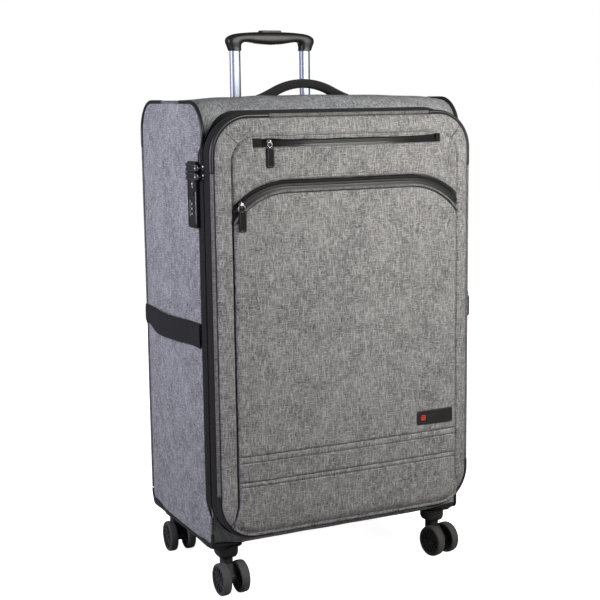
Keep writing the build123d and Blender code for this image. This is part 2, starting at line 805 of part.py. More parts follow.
# ---- Main opening: flap, zip halves, band and hinge tape ----------------
flap_inset = 0.15
tape_inset = flap_inset + band_wall + 0.15
tape_wall = 0.8
coil_wall = 0.9
coil_width = 1.8
expander_tape_back = -133.0
hinge_low = mouth_mid_z - mouth_height / 2 + mouth_corner_r + 12
hinge_high = mouth_mid_z + mouth_height / 2 - mouth_corner_r - 12


def zip_half(back, front, coil_back, coil_front):
    """One tape of the main zip with its coil edge, open along the hinge side."""
    with BuildPart() as half:
        add(mouth_ring(tape_inset, tape_inset + tape_wall, back, front))
        add(mouth_ring(tape_inset, tape_inset + coil_wall, coil_back, coil_front))
        with BuildSketch(Plane.XY.offset(hinge_low)):
            with Locations((half_width, zip_line)):
                Rectangle(60, 60)
        extrude(amount=hinge_high - hinge_low, mode=Mode.SUBTRACT)
    return half.part


with BuildPart() as main_zip_flap:
    add(mouth_ring(flap_inset, flap_inset + band_wall, mouth_back - 0.1, zip_back_edge))
main_zip_flap.part.label = "main_zip_flap"
export_step(main_zip_flap.part, "parts/main_zip_flap.step")

with BuildPart() as main_zip_case_tape:
    add(
        zip_half(
            zip_line + 12, zip_back_edge + 0.1, zip_line + coil_width, zip_back_edge + 0.05
        )
    )
main_zip_case_tape.part.label = "main_zip_case_tape"
export_step(main_zip_case_tape.part, "parts/main_zip_case_tape.step")

with BuildPart() as main_zip_lid_tape:
    add(
        zip_half(
            zip_front_edge - 0.1, zip_line - 12, zip_front_edge - 0.05, zip_line - coil_width
        )
    )
main_zip_lid_tape.part.label = "main_zip_lid_tape"
export_step(main_zip_lid_tape.part, "parts/main_zip_lid_tape.step")

with BuildPart() as lid_band:
    add(mouth_ring(flap_inset, flap_inset + band_wall, zip_front_edge, band_front))
lid_band.part.label = "lid_band"
export_step(lid_band.part, "parts/lid_band.step")

with BuildPart() as lid_hinge_tape:
    with BuildSketch(Plane.XY.offset(hinge_low + 2)):
        with Locations((half_width - tape_inset - 0.6, (mouth_back + zip_back_edge) / 2)):
            Rectangle(1.2, mouth_back - zip_back_edge - 1)
    extrude(amount=hinge_high - hinge_low - 4)
lid_hinge_tape.part.label = "lid_hinge_tape"
export_step(lid_hinge_tape.part, "parts/lid_hinge_tape.step")

with BuildPart() as expander_zip_tape:
    add(mouth_ring(tape_inset, tape_inset + tape_wall, expander_tape_back, band_front + 0.1))
expander_zip_tape.part.label = "expander_zip_tape"
export_step(expander_zip_tape.part, "parts/expander_zip_tape.step")

# ---- Front panel with its piping, gusset and pockets --------------------
gusset_inset = 4.5
gusset_depth = 47.0
gusset_front = -145.1
piping_inset = 2.0
rim_inset = 5.7
plate_inset = 5.5
pad_half = 200.0
pad_bottom = 125.0
pad_top = 738.0
pad_front = -161.0
pad_corner_r = 40.0
window_half = 165.0
window_bottom = 721.0
window_top = 735.0
window_floor = -155.0
zip_face = -159.5

with BuildPart() as expander_gusset:
    add(mouth_ring(gusset_inset, gusset_inset + 1, gusset_front + gusset_depth, gusset_front))
expander_gusset.part.label = "expander_gusset"
export_step(expander_gusset.part, "parts/expander_gusset.step")

with BuildPart() as front_panel_shell:
    with BuildSketch(Plane.XZ.offset(-panel_back + 0.2)):
        add(mouth_outline(plate_inset))
    extrude(amount=panel_back - 0.2 - panel_front)
    add(mouth_ring(rim_inset, rim_inset + 2.4, gusset_front - 0.4, panel_back - 0.2))
    with BuildSketch(Plane.XZ.offset(-panel_front)):
        with Locations((0, (pad_bottom + pad_top) / 2)):
            RectangleRounded(2 * pad_half, pad_top - pad_bottom, pad_corner_r)
    extrude(amount=panel_front - pad_front)
    chamfer(front_panel_shell.faces().sort_by(Axis.Y)[0].edges(), 3)
    with BuildSketch(Plane.XZ.offset(-window_floor)):
        with Locations((0, (window_bottom + window_top) / 2)):
            Rectangle(2 * window_half, window_top - window_bottom)
    extrude(amount=20, mode=Mode.SUBTRACT)
front_panel_shell.part.label = "front_panel_shell"
export_step(front_panel_shell.part, "parts/front_panel_shell.step")

with BuildPart() as front_panel_lining:
    with BuildSketch(Plane.XZ.offset(-panel_back - 1.2)):
        add(mouth_outline(rim_inset + 2.6))
    extrude(amount=1.2)
front_panel_lining.part.label = "front_panel_lining"
export_step(front_panel_lining.part, "parts/front_panel_lining.step")

cord_r = 2.9
front_bore_r = 3.0
front_sleeve_r = 3.3
cord_half_x = half_width - piping_inset
cord_low = mouth_mid_z - mouth_height / 2 + piping_inset
cord_high = mouth_mid_z + mouth_height / 2 - piping_inset
cord_plane = Plane.XZ.offset(-piping_y)
front_sleeves = (
    ((-cord_half_x, 683), (-cord_half_x, cord_high), (-131, cord_high)),
    ((152, cord_high), (cord_half_x, cord_high), (cord_half_x, 680)),
    ((cord_half_x, 179), (cord_half_x, cord_low), (150, cord_low)),
    ((-135, cord_low), (-cord_half_x, cord_low), (-cord_half_x, 181)),
)

with BuildPart() as front_piping:
    with BuildLine(cord_plane) as cord_path:
        FilletPolyline(
            (0, cord_low),
            (cord_half_x, cord_low),
            (cord_half_x, cord_high),
            (-cord_half_x, cord_high),
            (-cord_half_x, cord_low),
            (-0.2, cord_low),
            radius=mouth_corner_r - piping_inset,
        )
    with BuildSketch(Plane(cord_path.line @ 0, z_dir=cord_path.line % 0)):
        Circle(cord_r)
    sweep(path=cord_path.line)
front_piping.part.label = "front_piping"
export_step(front_piping.part, "parts/front_piping.step")

with BuildPart() as front_piping_sleeves:
    for start, corner, end in front_sleeves:
        add(
            corner_sleeve(
                cord_plane,
                start,
                corner,
                end,
                mouth_corner_r - piping_inset,
                front_bore_r,
                front_sleeve_r,
            )
        )
front_piping_sleeves.part.label = "front_piping_sleeves"
export_step(front_piping_sleeves.part, "parts/front_piping_sleeves.step")

with BuildPart() as top_pocket_zip_tape:
    with BuildSketch(Plane.XZ.offset(-zip_face - 1.5)):
        with Locations((0, (window_bottom + window_top) / 2)):
            Rectangle(2 * window_half - 0.4, window_top - window_bottom - 0.4)
    extrude(amount=1.5)
top_pocket_zip_tape.part.label = "top_pocket_zip_tape"
export_step(top_pocket_zip_tape.part, "parts/top_pocket_zip_tape.step")

pocket_half = 197.0
pocket_bottom = 130.0
pocket_arc_x = 109.0
pocket_arc_z = 541.0
pocket_arc_r = 112.0
zip_low_r = 114.5
zip_high_r = 129.5
slider_arc_r = 122.0
slider_arc_angle = 130.0
crown_mid_x = 12.5
crown_mid_z = 385.0
crown_width = 355.0
crown_height = 470.0
crown_rise = 6.5


def arched_outline(arc_r):
    """The pocket's face: a flat top that falls away in an arc towards each side."""
    with BuildSketch() as outline:
        with Locations((-pocket_arc_x, pocket_arc_z), (pocket_arc_x, pocket_arc_z)):
            Circle(arc_r)
        with Locations((0, pocket_arc_z + arc_r / 2)):
            Rectangle(2 * pocket_arc_x, arc_r)
        with Locations((0, (pocket_arc_z + pocket_bottom) / 2)):
            Rectangle(2 * pocket_half + 60, pocket_arc_z - pocket_bottom)
        with Locations((0, pocket_bottom + 300)):
            Rectangle(2 * pocket_half, 600, mode=Mode.INTERSECT)
    return outline.sketch


with BuildPart() as front_pocket_panel:
    with BuildSketch(Plane.XZ.offset(-pad_front + 0.2)):
        add(arched_outline(pocket_arc_r))
    extrude(amount=3.3)
    with BuildSketch(Plane.XZ.offset(-pad_front + 3.5)):
        with Locations((crown_mid_x, crown_mid_z)):
            RectangleRounded(crown_width, crown_height, 30)
    extrude(amount=crown_rise)
    chamfer(front_pocket_panel.faces().sort_by(Axis.Y)[0].edges(), 5)
front_pocket_panel.part.label = "front_pocket_panel"
export_step(front_pocket_panel.part, "parts/front_pocket_panel.step")

with BuildPart() as front_pocket_zip_tape:
    with BuildSketch(Plane.XZ.offset(-pad_front + 0.2)):
        add(arched_outline(zip_high_r))
        add(arched_outline(zip_low_r), mode=Mode.SUBTRACT)
    extrude(amount=1.3)
front_pocket_zip_tape.part.label = "front_pocket_zip_tape"
export_step(front_pocket_zip_tape.part, "parts/front_pocket_zip_tape.step")

badge_width = 69.0
badge_height = 24.0
badge_x = 153.5
badge_z = 266.0
pocket_face = pad_front - 10.0

with BuildPart() as label_badge:
    with BuildSketch(Plane.XZ.offset(-pocket_face + 0.2)) as badge_outline:
        with Locations((badge_x, badge_z)):
            Rectangle(badge_width, badge_height)
        fillet(badge_outline.vertices().group_by(Axis.X)[-1], 6)
    extrude(amount=1.5)
label_badge.part.label = "label_badge"
export_step(label_badge.part, "parts/label_badge.step")

# ---- Zip sliders and their pullers --------------------------------------
# Each slider's plane lies on the zip: local x is the puller's hinge axis, local y
# points away from the hanging puller, and local z is outwards.
slider_lift = 0.2
slider_thick = 1.8
bridge_pin_r = 0.9
low_bridge = 4.2
high_bridge = 9.0
bridge_half = 3.0
bridge_post = 1.0
puller_eye_r = 1.9
puller_width = 9.5
puller_thick = 1.8


def slider(plane, width, length, bridge_height):
    """A zip slider: a body plate and a bridge of two posts with a pin between them."""
    pin_plane = Plane(
        plane.origin + plane.z_dir * bridge_height, x_dir=plane.y_dir, z_dir=plane.x_dir
    )
    with BuildPart() as body:
        with BuildSketch(plane.offset(slider_lift)):
            RectangleRounded(width, length, 1.5)
        extrude(amount=slider_thick)
        with BuildSketch(plane.offset(slider_lift + slider_thick - 0.1)):
            with GridLocations(2 * bridge_half, 1, 2, 1):
                Rectangle(bridge_post, 3.4)
        extrude(amount=bridge_height + 1.2 - slider_lift - slider_thick)
        with BuildSketch(pin_plane):
            Circle(bridge_pin_r)
        extrude(amount=bridge_half, both=True)
    return body.part


def puller(plane, length, bridge_height):
    """A flat zip puller with an eye round the slider's bridge pin."""
    pin_plane = Plane(
        plane.origin + plane.z_dir * bridge_height, x_dir=plane.y_dir, z_dir=plane.x_dir
    )
    with BuildPart() as tab:
        with BuildSketch(plane.offset(bridge_height - puller_thick / 2)):
            with Locations((0, -4.5)):
                Rectangle(2 * bridge_half - 1.6, 9)
            with Locations((0, -length / 2 - 3)):
                RectangleRounded(puller_width, length - 6, 2)
        extrude(amount=puller_thick)
        with BuildSketch(pin_plane):
            Circle(puller_eye_r)
        extrude(amount=bridge_half - 0.8, both=True)
        with BuildSketch(pin_plane):
            Circle(bridge_pin_r + running)
        extrude(amount=2 * bridge_half, both=True, mode=Mode.SUBTRACT)
    return tab.part


slider_angle = math.radians(slider_arc_angle)
front_slider_x = -pocket_arc_x + slider_arc_r * math.cos(slider_angle)
front_slider_z = pocket_arc_z + slider_arc_r * math.sin(slider_angle)
expander_y = -141.0
expander_z = 468.0
upper_slider_z = 691.0
lower_slider_z = 677.5
left_dir = Vector(-1, 0, 0)
right_dir = Vector(1, 0, 0)
front_dir = Vector(0, -1, 0)

# name: (origin, hinge axis, outward direction, body width and length, bridge height,
# puller length)
zip_pulls = {
    "main_upper": (
        (-half_width, zip_line, upper_slider_z), (0, 0, -1), left_dir, (11, 7.5), high_bridge, 50
    ),
    "main_lower": (
        (-half_width, zip_line, lower_slider_z), (0, 0, -1), left_dir, (11, 7.5), high_bridge, 50
    ),
    "expander": ((half_width, expander_y, expander_z), (0, 1, 0), right_dir, (6.5, 11), low_bridge, 42),
    "top_pocket": ((-138, zip_face, 728), (1, 0, 0), front_dir, (9, 9), low_bridge, 36),
    "front_pocket": (
        (front_slider_x, pad_front - 1.5, front_slider_z),
        (1, 0, 0),
        front_dir,
        (8, 9),
        low_bridge,
        36,
    ),
}

for name, (origin, hinge, outward, body_size, bridge_height, reach) in zip_pulls.items():
    zip_plane = Plane(origin, x_dir=hinge, z_dir=outward)

    with BuildPart() as zip_slider:
        add(slider(zip_plane, body_size[0], body_size[1], bridge_height))
    zip_slider.part.label = f"{name}_slider"
    export_step(zip_slider.part, f"parts/{name}_slider.step")

    with BuildPart() as zip_puller:
        add(puller(zip_plane, reach, bridge_height))
    zip_puller.part.label = f"{name}_puller"
    export_step(zip_puller.part, f"parts/{name}_puller.step")
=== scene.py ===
import json
import math

import bmesh
import bpy
import numpy as np
from mathutils import Matrix, Vector


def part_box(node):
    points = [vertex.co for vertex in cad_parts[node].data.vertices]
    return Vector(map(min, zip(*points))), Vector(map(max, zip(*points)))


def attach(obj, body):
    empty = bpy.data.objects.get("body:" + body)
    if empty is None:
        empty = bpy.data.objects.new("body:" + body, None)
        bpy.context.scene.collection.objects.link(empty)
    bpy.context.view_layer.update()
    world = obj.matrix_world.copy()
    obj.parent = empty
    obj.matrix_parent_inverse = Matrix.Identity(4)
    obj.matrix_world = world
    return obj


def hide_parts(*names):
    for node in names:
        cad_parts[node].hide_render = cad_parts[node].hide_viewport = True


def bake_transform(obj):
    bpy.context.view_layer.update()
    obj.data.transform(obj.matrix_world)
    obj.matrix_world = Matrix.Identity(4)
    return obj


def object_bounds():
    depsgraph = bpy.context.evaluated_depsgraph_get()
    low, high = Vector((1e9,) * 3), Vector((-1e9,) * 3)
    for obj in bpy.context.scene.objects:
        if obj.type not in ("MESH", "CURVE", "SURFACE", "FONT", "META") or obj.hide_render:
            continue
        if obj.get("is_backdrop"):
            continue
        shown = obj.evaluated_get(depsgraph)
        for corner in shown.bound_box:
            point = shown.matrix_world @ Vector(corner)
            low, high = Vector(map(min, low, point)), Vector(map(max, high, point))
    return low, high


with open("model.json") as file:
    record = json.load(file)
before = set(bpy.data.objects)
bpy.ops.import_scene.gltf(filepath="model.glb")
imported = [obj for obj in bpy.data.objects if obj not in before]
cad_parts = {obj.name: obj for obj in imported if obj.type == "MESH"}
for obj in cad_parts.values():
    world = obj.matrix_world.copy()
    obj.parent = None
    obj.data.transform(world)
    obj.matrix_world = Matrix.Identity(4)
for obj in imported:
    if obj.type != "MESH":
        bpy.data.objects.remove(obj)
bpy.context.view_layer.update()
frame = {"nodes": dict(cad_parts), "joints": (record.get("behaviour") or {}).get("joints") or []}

FRONT = np.array((0.0, -1.0, 0.0))
UP = np.array((0.0, 0.0, 1.0))
LEFT = np.array((-1.0, 0.0, 0.0))
# Pieces are laid out about the middle of the case body, 25 mm behind the frame's origin.
BODY_MIDDLE = np.array((0.0, 25.0, 0.0))


# ---- Materials ----------------------------------------------------------
class Paint:
    """One procedural material and short ways to wire its nodes."""

    def __init__(self, name):
        self.material = bpy.data.materials.new(name)
        self.material.use_nodes = True
        self.tree = self.material.node_tree
        self.shader = self.tree.nodes["Principled BSDF"]

    def node(self, kind, inputs=(), **settings):
        made = self.tree.nodes.new("ShaderNode" + kind)
        for key, value in settings.items():
            setattr(made, key, value)
        for index, value in enumerate(inputs):
            self.put(made.inputs[index], value)
        return made

    def put(self, socket, value):
        if isinstance(value, bpy.types.NodeSocket):
            self.tree.links.new(value, socket)
        elif value is not None:
            socket.default_value = value

    def math(self, operation, a, b=0.0, c=0.0, clamp=False):
        made = self.node("Math", (a, b, c), operation=operation, use_clamp=clamp)
        return made.outputs[0]

    def times(self, a, b):
        return self.math("MULTIPLY", a, b)

    def plus(self, a, b, clamp=False):
        return self.math("ADD", a, b, clamp=clamp)

    def spread(self, value, low, high, out_low=0.0, out_high=1.0):
        made = self.node("MapRange", (value, low, high, out_low, out_high))
        return made.outputs[0]

    def mix(self, share, a, b):
        made = self.node("Mix", data_type="RGBA")
        self.put(made.inputs[0], share)
        self.put(made.inputs[6], a)
        self.put(made.inputs[7], b)
        return made.outputs[2]

    def cloth(self):
        """The cloth coordinates in metres: along the weft, along the warp."""
        parts = self.node("SeparateXYZ", (self.node("Attribute", attribute_name="cloth").outputs["Vector"],))
        return parts.outputs[0], parts.outputs[1]

    def place(self):
        return self.node("TexCoord").outputs["Object"]

    def vector(self, x, y, z=0.0):
        return self.node("CombineXYZ", (x, y, z)).outputs[0]

    def noise(self, place, scale=1.0, detail=2.0, rough=0.5):
        made = self.node("TexNoise")
        self.put(made.inputs["Vector"], place)
        made.inputs["Scale"].default_value = scale
        made.inputs["Detail"].default_value = detail
        made.inputs["Roughness"].default_value = rough
        return made.outputs[0]

    def threads(self, u, v, per_u, per_v, seed=0.0, detail=2, rough=0.6):
        """Noise drawn out along the cloth's two directions; per_u and per_v are its changes in a metre."""
        return self.noise(self.vector(self.times(u, per_u), self.times(v, per_v), seed), 1, detail, rough)

    def bump(self, height, distance):
        made = self.node("Bump")
        made.inputs["Strength"].default_value = 1.0
        made.inputs["Distance"].default_value = distance
        self.put(made.inputs["Height"], height)
        self.tree.links.new(made.outputs[0], self.shader.inputs["Normal"])

    def finish(self, colour, roughness, metallic=0.0, sheen=0.0, coat=0.0, specular=0.5):
        self.put(self.shader.inputs["Base Color"], colour)
        self.put(self.shader.inputs["Roughness"], roughness)
        self.put(self.shader.inputs["Metallic"], metallic)
        self.put(self.shader.inputs["Sheen Weight"], sheen)
        self.put(self.shader.inputs["Coat Weight"], coat)
        self.put(self.shader.inputs["Specular IOR Level"], specular)
        self.shader.inputs["Coat Roughness"].default_value = 0.25
        return self.material


def grey(value, warm=0.0):
    return (value * (1 + warm), value, value * (1 - warm), 1.0)


def heather(name, dark, light):
    """Two-tone plain weave with slubs along both thread directions."""
    pitch, pale = 0.0009, 0.6
    p = Paint(name)
    u, v = p.cloth()
    weft = p.threads(u, v, 150, 980)
    warp = p.threads(u, v, 980, 150, 7.3)
    slub_a = p.threads(u, v, 66, 840, 3.1, 1, 0.4)
    slub_b = p.threads(u, v, 840, 66, 9.7, 1, 0.4)
    cloud = p.threads(u, v, 26, 26, 1.7, 3)
    turn = 2 * math.pi / pitch
    over = p.times(p.math("SINE", p.times(u, turn)), p.math("SINE", p.times(v, turn)))
    pick = p.spread(over, -0.25, 0.25)
    thread = p.plus(p.times(weft, pick), p.times(warp, p.math("SUBTRACT", 1.0, pick)))
    tone = p.spread(thread, 0.35, 0.65)
    tone = p.plus(p.times(tone, 0.78), p.times(p.spread(cloud, 0.3, 0.7), 0.22))
    streak = p.math("MAXIMUM", p.spread(slub_a, pale, pale + 0.06), p.spread(slub_b, pale, pale + 0.06))
    gap = p.math("MAXIMUM", p.spread(slub_a, 0.38, 0.28), p.spread(slub_b, 0.38, 0.28))
    tone = p.plus(tone, p.times(streak, 0.55), clamp=True)
    tone = p.math("SUBTRACT", tone, p.times(gap, 0.16), clamp=True)
    colour = p.mix(tone, dark, light)
    height = p.plus(p.times(p.math("ABSOLUTE", over), 0.5), tone)
    p.bump(height, 0.00028)
    rough = p.spread(tone, 0, 1, 0.95, 0.8)
    return p.finish(colour, rough, sheen=0.06, specular=0.12)


def woven(name, dark, light, rib_u, rib_v, roughness=0.75, sheen=0.03, depth=0.0002):
    """Plain black weave or webbing: ribs of the given pitch along each direction."""
    p = Paint(name)
    u, v = p.cloth()
    a = p.math("SINE", p.times(u, 2 * math.pi / rib_u))
    b = p.math("SINE", p.times(v, 2 * math.pi / rib_v))
    ribs = p.spread(p.times(a, b), -1, 1)
    fuzz = p.threads(u, v, 700, 700, 0.0, 3)
    wear = p.threads(u, v, 20, 20, 4.0, 4)
    tone = p.plus(p.times(ribs, 0.45), p.times(p.spread(fuzz, 0.3, 0.7), 0.35))
    tone = p.plus(tone, p.times(wear, 0.25), clamp=True)
    p.bump(p.plus(ribs, p.times(fuzz, 0.5)), depth)
    rough = p.spread(wear, 0.3, 0.7, roughness - 0.08, roughness + 0.1)
    return p.finish(p.mix(tone, dark, light), rough, sheen=sheen, specular=0.15)


def moulded(name, dark, light, roughness, grain, depth, coat=0.0):
    """Moulded plastic or rubber with a fine grain, handling marks and dust."""
    p = Paint(name)
    place = p.place()
    fine = p.noise(place, grain, 2, 0.5)
    broad = p.noise(place, 28, 4, 0.6)
    marks = p.noise(p.node("Mapping", (place, (0, 0, 0), (0, 0, 0.6), (40, 900, 260))).outputs[0], 1, 2, 0.6)
    tone = p.plus(p.times(broad, 0.6), p.times(fine, 0.4))
    colour = p.mix(p.spread(tone, 0.3, 0.7), dark, light)
    rough = p.spread(broad, 0.3, 0.7, roughness - 0.05, roughness + 0.08)
    rough = p.plus(rough, p.times(p.spread(marks, 0.6, 0.75), 0.12))
    p.bump(fine, depth)
    return p.finish(colour, rough, coat=coat, specular=0.3)


def metal(name, dark, light, roughness, stretch):
    """Drawn or plated metal: fine lines along one direction and soft smudges."""
    p = Paint(name)
    place = p.place()
    lines = p.noise(p.node("Mapping", (place, (0, 0, 0), (0, 0, 0), stretch)).outputs[0], 1, 2, 0.6)
    smudge = p.noise(place, 45, 3, 0.6)
    colour = p.mix(p.spread(lines, 0.25, 0.75), dark, light)
    rough = p.plus(p.spread(lines, 0.3, 0.7, roughness - 0.03, roughness + 0.04), p.times(smudge, 0.08))
    p.bump(lines, 0.00003)
    return p.finish(colour, rough, metallic=1.0)


fabric_front = heather("heather_fabric_front", grey(0.025, 0.02), grey(0.325, 0.02))
# A lighter, cooler copy of the front heather for the side panels and the strip over top, back and bottom: painted cool
# side light.
fabric_side_painted_cool_light = heather("heather_fabric_side", grey(0.022, -0.01), grey(0.37, -0.02))
fabric_cord = heather("heather_cord", grey(0.03, 0.02), grey(0.2, 0.02))
black_fabric = woven("black_oxford", grey(0.003), grey(0.014), 0.0011, 0.0011)
webbing = woven("black_webbing", grey(0.004), grey(0.019), 0.0022, 0.0013, 0.65, 0.04, 0.0004)
zip_tape = woven("black_zip_tape", grey(0.006), grey(0.025), 0.0009, 0.0009)
lining_cloth = woven("lining_cloth", grey(0.03), grey(0.09), 0.0007, 0.0007, 0.6)
coated_tape = moulded("coated_zip_tape", grey(0.004), grey(0.012), 0.45, 900, 0.00006, 0.05)
zip_coil = moulded("zip_coil", grey(0.008), grey(0.03), 0.4, 1800, 0.00005)
sleeve_pvc = moulded("pvc_sleeve", grey(0.008), grey(0.018), 0.36, 500, 0.00008, 0.05)
satin_plastic = moulded("satin_plastic", grey(0.008), grey(0.02), 0.4, 1600, 0.00008)
grain_plastic = moulded("grained_plastic", grey(0.010), grey(0.026), 0.55, 1100, 0.00025)
grip_plastic = moulded("grip_plastic", grey(0.004), grey(0.012), 0.42, 1500, 0.00008, 0.05)
tread = moulded("tread", grey(0.035, 0.02), grey(0.07, 0.02), 0.75, 900, 0.0002)
hub_plastic = moulded("hub_plastic", grey(0.010), grey(0.03), 0.45, 1300, 0.0001)
# Dark thread for the stitches; the same dark colour also paints shade in the dark tubes along the seams, the pocket's
# fold and under the pleats.
thread_dark_and_painted_shade = moulded("dark_thread", grey(0.012), grey(0.05), 0.7, 3000, 0.0001)
thread_grey = moulded("grey_thread", grey(0.10), grey(0.24), 0.8, 3000, 0.0001)
white_paint = moulded("white_figures", grey(0.6), grey(0.8), 0.5, 2000, 0.00002)
red_paint = moulded("red_mark", (0.5, 0.02, 0.015, 1), (0.75, 0.05, 0.03, 1), 0.45, 2000, 0.00003)
board_plastic = moulded("board", grey(0.06), grey(0.12), 0.6, 300, 0.0003)
badge_plate = moulded("badge_plate", grey(0.008, 0.02), grey(0.017, 0.02), 0.5, 1400, 0.00008)
chrome = metal("plated_zinc", (0.2, 0.2, 0.21, 1), (0.42, 0.42, 0.43, 1), 0.24, (300, 300, 300))
gunmetal = metal("dark_zinc", (0.04, 0.04, 0.045, 1), (0.12, 0.12, 0.125, 1), 0.3, (300, 300, 300))
steel = metal("zinc_steel", (0.2, 0.2, 0.21, 1), (0.4, 0.4, 0.4, 1), 0.34, (200, 200, 200))
aluminium = metal("bright_aluminium", (0.2, 0.22, 0.27, 1), (0.32, 0.34, 0.4, 1), 0.45, (900, 900, 14))


def link(name, data):
    made = bpy.data.objects.new(name, data)
    bpy.context.scene.collection.objects.link(made)
    return made


# ---- Mesh helpers (millimetres until a piece is made) --------------------
class Shape:
    def __init__(self):
        self.points, self.weave, self.faces, self.count = [], [], [], 0

    def grid(self, points, around_u=False, around_v=False, weave=None):
        nu, nv = points.shape[:2]
        ids = np.arange(nu * nv).reshape(nu, nv) + self.count
        self.count += nu * nv
        self.points.append(points.reshape(-1, 3))
        if weave is None:
            weave = np.zeros((nu, nv, 2))
        self.weave.append(weave.reshape(-1, 2))
        rows = np.concatenate([ids, ids[:1]]) if around_u else ids
        rows = np.concatenate([rows, rows[:, :1]], 1) if around_v else rows
        quads = np.stack([rows[:-1, :-1], rows[1:, :-1], rows[1:, 1:], rows[:-1, 1:]], -1)
        self.faces += quads.reshape(-1, 4).tolist()
        return ids

    def cap(self, loop):
        self.faces.append([int(i) for i in loop])

    def bar(self, points, weave=None):
        """Rings of points joined into a bar that is closed at both ends."""
        ids = self.grid(points, False, True, weave)
        self.cap(ids[0])
        self.cap(ids[-1][::-1])

    def sheet(self, points, weave, thickness, around_u=False, facing=None, hole=None):
        """A sheet with a back face: points run over the visible side."""
        du = np.roll(points, -1, 0) - np.roll(points, 1, 0) if around_u else np.gradient(points, axis=0)
        dv = np.gradient(points, axis=1)
        normal = np.cross(du, dv)
        normal /= np.linalg.norm(normal, axis=-1, keepdims=True) + 1e-9
        towards = points - points.mean((0, 1)) if facing is None else np.array(facing)
        if (normal * towards).sum(-1).mean() < 0:
            normal = -normal
        start = len(self.faces)
        front = self.grid(points, around_u, False, weave)
        back = self.grid(points - normal * thickness, around_u, False, weave)
        if hole is not None:
            flags = hole.reshape(-1)
            base = front[0, 0]
            size = front.size
            kept = [f for f in self.faces[start:] if not all(flags[(i - base) % size] for i in f)]
            self.faces[start:] = kept
        edges = [(front[:, 0], back[:, 0]), (front[:, -1], back[:, -1])]
        if not around_u:
            edges += [(front[0], back[0]), (front[-1], back[-1])]
        for a, b in edges:
            last = len(a) if around_u else len(a) - 1
            for i in range(last):
                j = (i + 1) % len(a)
                self.cap((a[i], a[j], b[j], b[i]))

    def sweep(self, path, profile):
        """Profile points (outwards, forwards) carried along a closed path that faces the front."""
        outward = outwards(path)
        profile = np.asarray(profile, float)
        points = path[:, None] + profile[None, :, :1] * outward[:, None] + profile[None, :, 1:] * FRONT
        girth = np.concatenate([[0], np.cumsum(np.linalg.norm(np.diff(profile, axis=0), axis=1))])
        self.grid(points, True, True, woven_over(lengths(path), girth))

    def tube(self, path, radius, normal, closed=False, sides=10, flat=1.0):
        turn = full_turn(sides)
        outward = np.cross(tangents(path, closed), normal)
        radius = np.broadcast_to(np.asarray(radius, float), (len(path),))[:, None, None]
        ring = np.cos(turn)[None, :, None] * outward[:, None] + flat * np.sin(turn)[None, :, None] * np.asarray(normal)
        weave = woven_over(lengths(path), turn * radius.mean())
        points = path[:, None] + radius * ring
        if closed:
            self.grid(points, True, True, weave)
        else:
            self.bar(points, weave)

    def slab(self, plane, outlines):
        """Stacked outlines, each (height, list of local points), closed at both ends."""
        self.bar(np.array([on_plane(plane, p, h) for h, p in outlines]), np.array([p for _, p in outlines]))

    def plate(self, plane, width, height, r, levels, count):
        """A slab with a rounded rectangular outline; levels are (height, inset)."""
        self.slab(plane, [(level, ring_of(rectangle(width, height, r, 0.5, inset), count)) for level, inset in levels])

    def hoop(self, plane, rings):
        """A closed frame through rings of (local points, height)."""
        self.grid(np.stack([on_plane(plane, p, h) for p, h in rings], 1), True, True)

    def stitches(self, path, out, closed, pitch, long, wide, high):
        """Raised stitches along a path; out gives the surface direction at each point."""
        run = lengths(path)
        along = tangents(path, closed)
        out = np.broadcast_to(np.asarray(out, float), path.shape)
        spots = np.arange(pitch / 2, run[-1], pitch)
        centre, t, n = (sample(spots, run, values) for values in (path, along, out))
        for c, a, b, w in zip(centre, t, np.cross(t, n), n):
            rows = []
            for position, size in ((-0.5, 0.35), (-0.25, 1.0), (0.25, 1.0), (0.5, 0.35)):
                base = c + a * position * long
                rows.append([base + b * wide / 2 * size, base + w * high * size,
                             base - b * wide / 2 * size, base - w * 0.3])
            self.bar(np.array(rows))

    def piece(self, name, material, body, stands_for=(), slot=None, angle=None):
        mesh = bpy.data.meshes.new(name)
        points = (np.concatenate(self.points) + BODY_MIDDLE) / 1000
        mesh.from_pydata(points.tolist(), [], self.faces)
        weave = np.concatenate(self.weave) / 1000
        layer = mesh.attributes.new("cloth", "FLOAT_VECTOR", "POINT")
        layer.data.foreach_set("vector", np.column_stack([weave, np.zeros(len(weave))]).ravel().astype(np.float32))
        work = bmesh.new()
        work.from_mesh(mesh)
        loose = [v for v in work.verts if not v.link_faces]
        bmesh.ops.delete(work, geom=loose, context="VERTS")
        bmesh.ops.recalc_face_normals(work, faces=work.faces)
        work.to_mesh(mesh)
        work.free()
        mesh.shade_smooth()
        made = link(name, mesh)
        mesh.materials.append(material)
        if angle is not None:
            mesh.set_sharp_from_angle(angle=math.radians(angle))
        if body is not None:
            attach(made, body)
        if stands_for:
            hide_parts(*stands_for)
        return made


def tangents(path, closed):
    step = np.roll(path, -1, 0) - np.roll(path, 1, 0) if closed else np.gradient(path, axis=0)
    return step / (np.linalg.norm(step, axis=1, keepdims=True) + 1e-9)


def lengths(path):
    return np.concatenate([[0], np.cumsum(np.linalg.norm(np.diff(path, axis=0), axis=1))])


def sample(spots, run, values):
    """The columns of values, known at the lengths in run, read off at the lengths in spots."""
    return np.stack([np.interp(spots, run, values[:, k]) for k in range(values.shape[1])], -1)


def resample(path, step, closed):
    path = np.asarray(path, float)
    if closed:
        path = np.concatenate([path, path[:1]])
    run = lengths(path)
    count = max(2, int(round(run[-1] / step)))
    spots = np.linspace(0, run[-1], count, endpoint=False) if closed else np.linspace(0, run[-1], count + 1)
    return sample(spots, run, path)


def ring_of(outline, count):
    """A closed outline as exactly count evenly spaced points."""
    return resample(outline, lengths(np.concatenate([outline, outline[:1]]))[-1] / count, True)[:count]


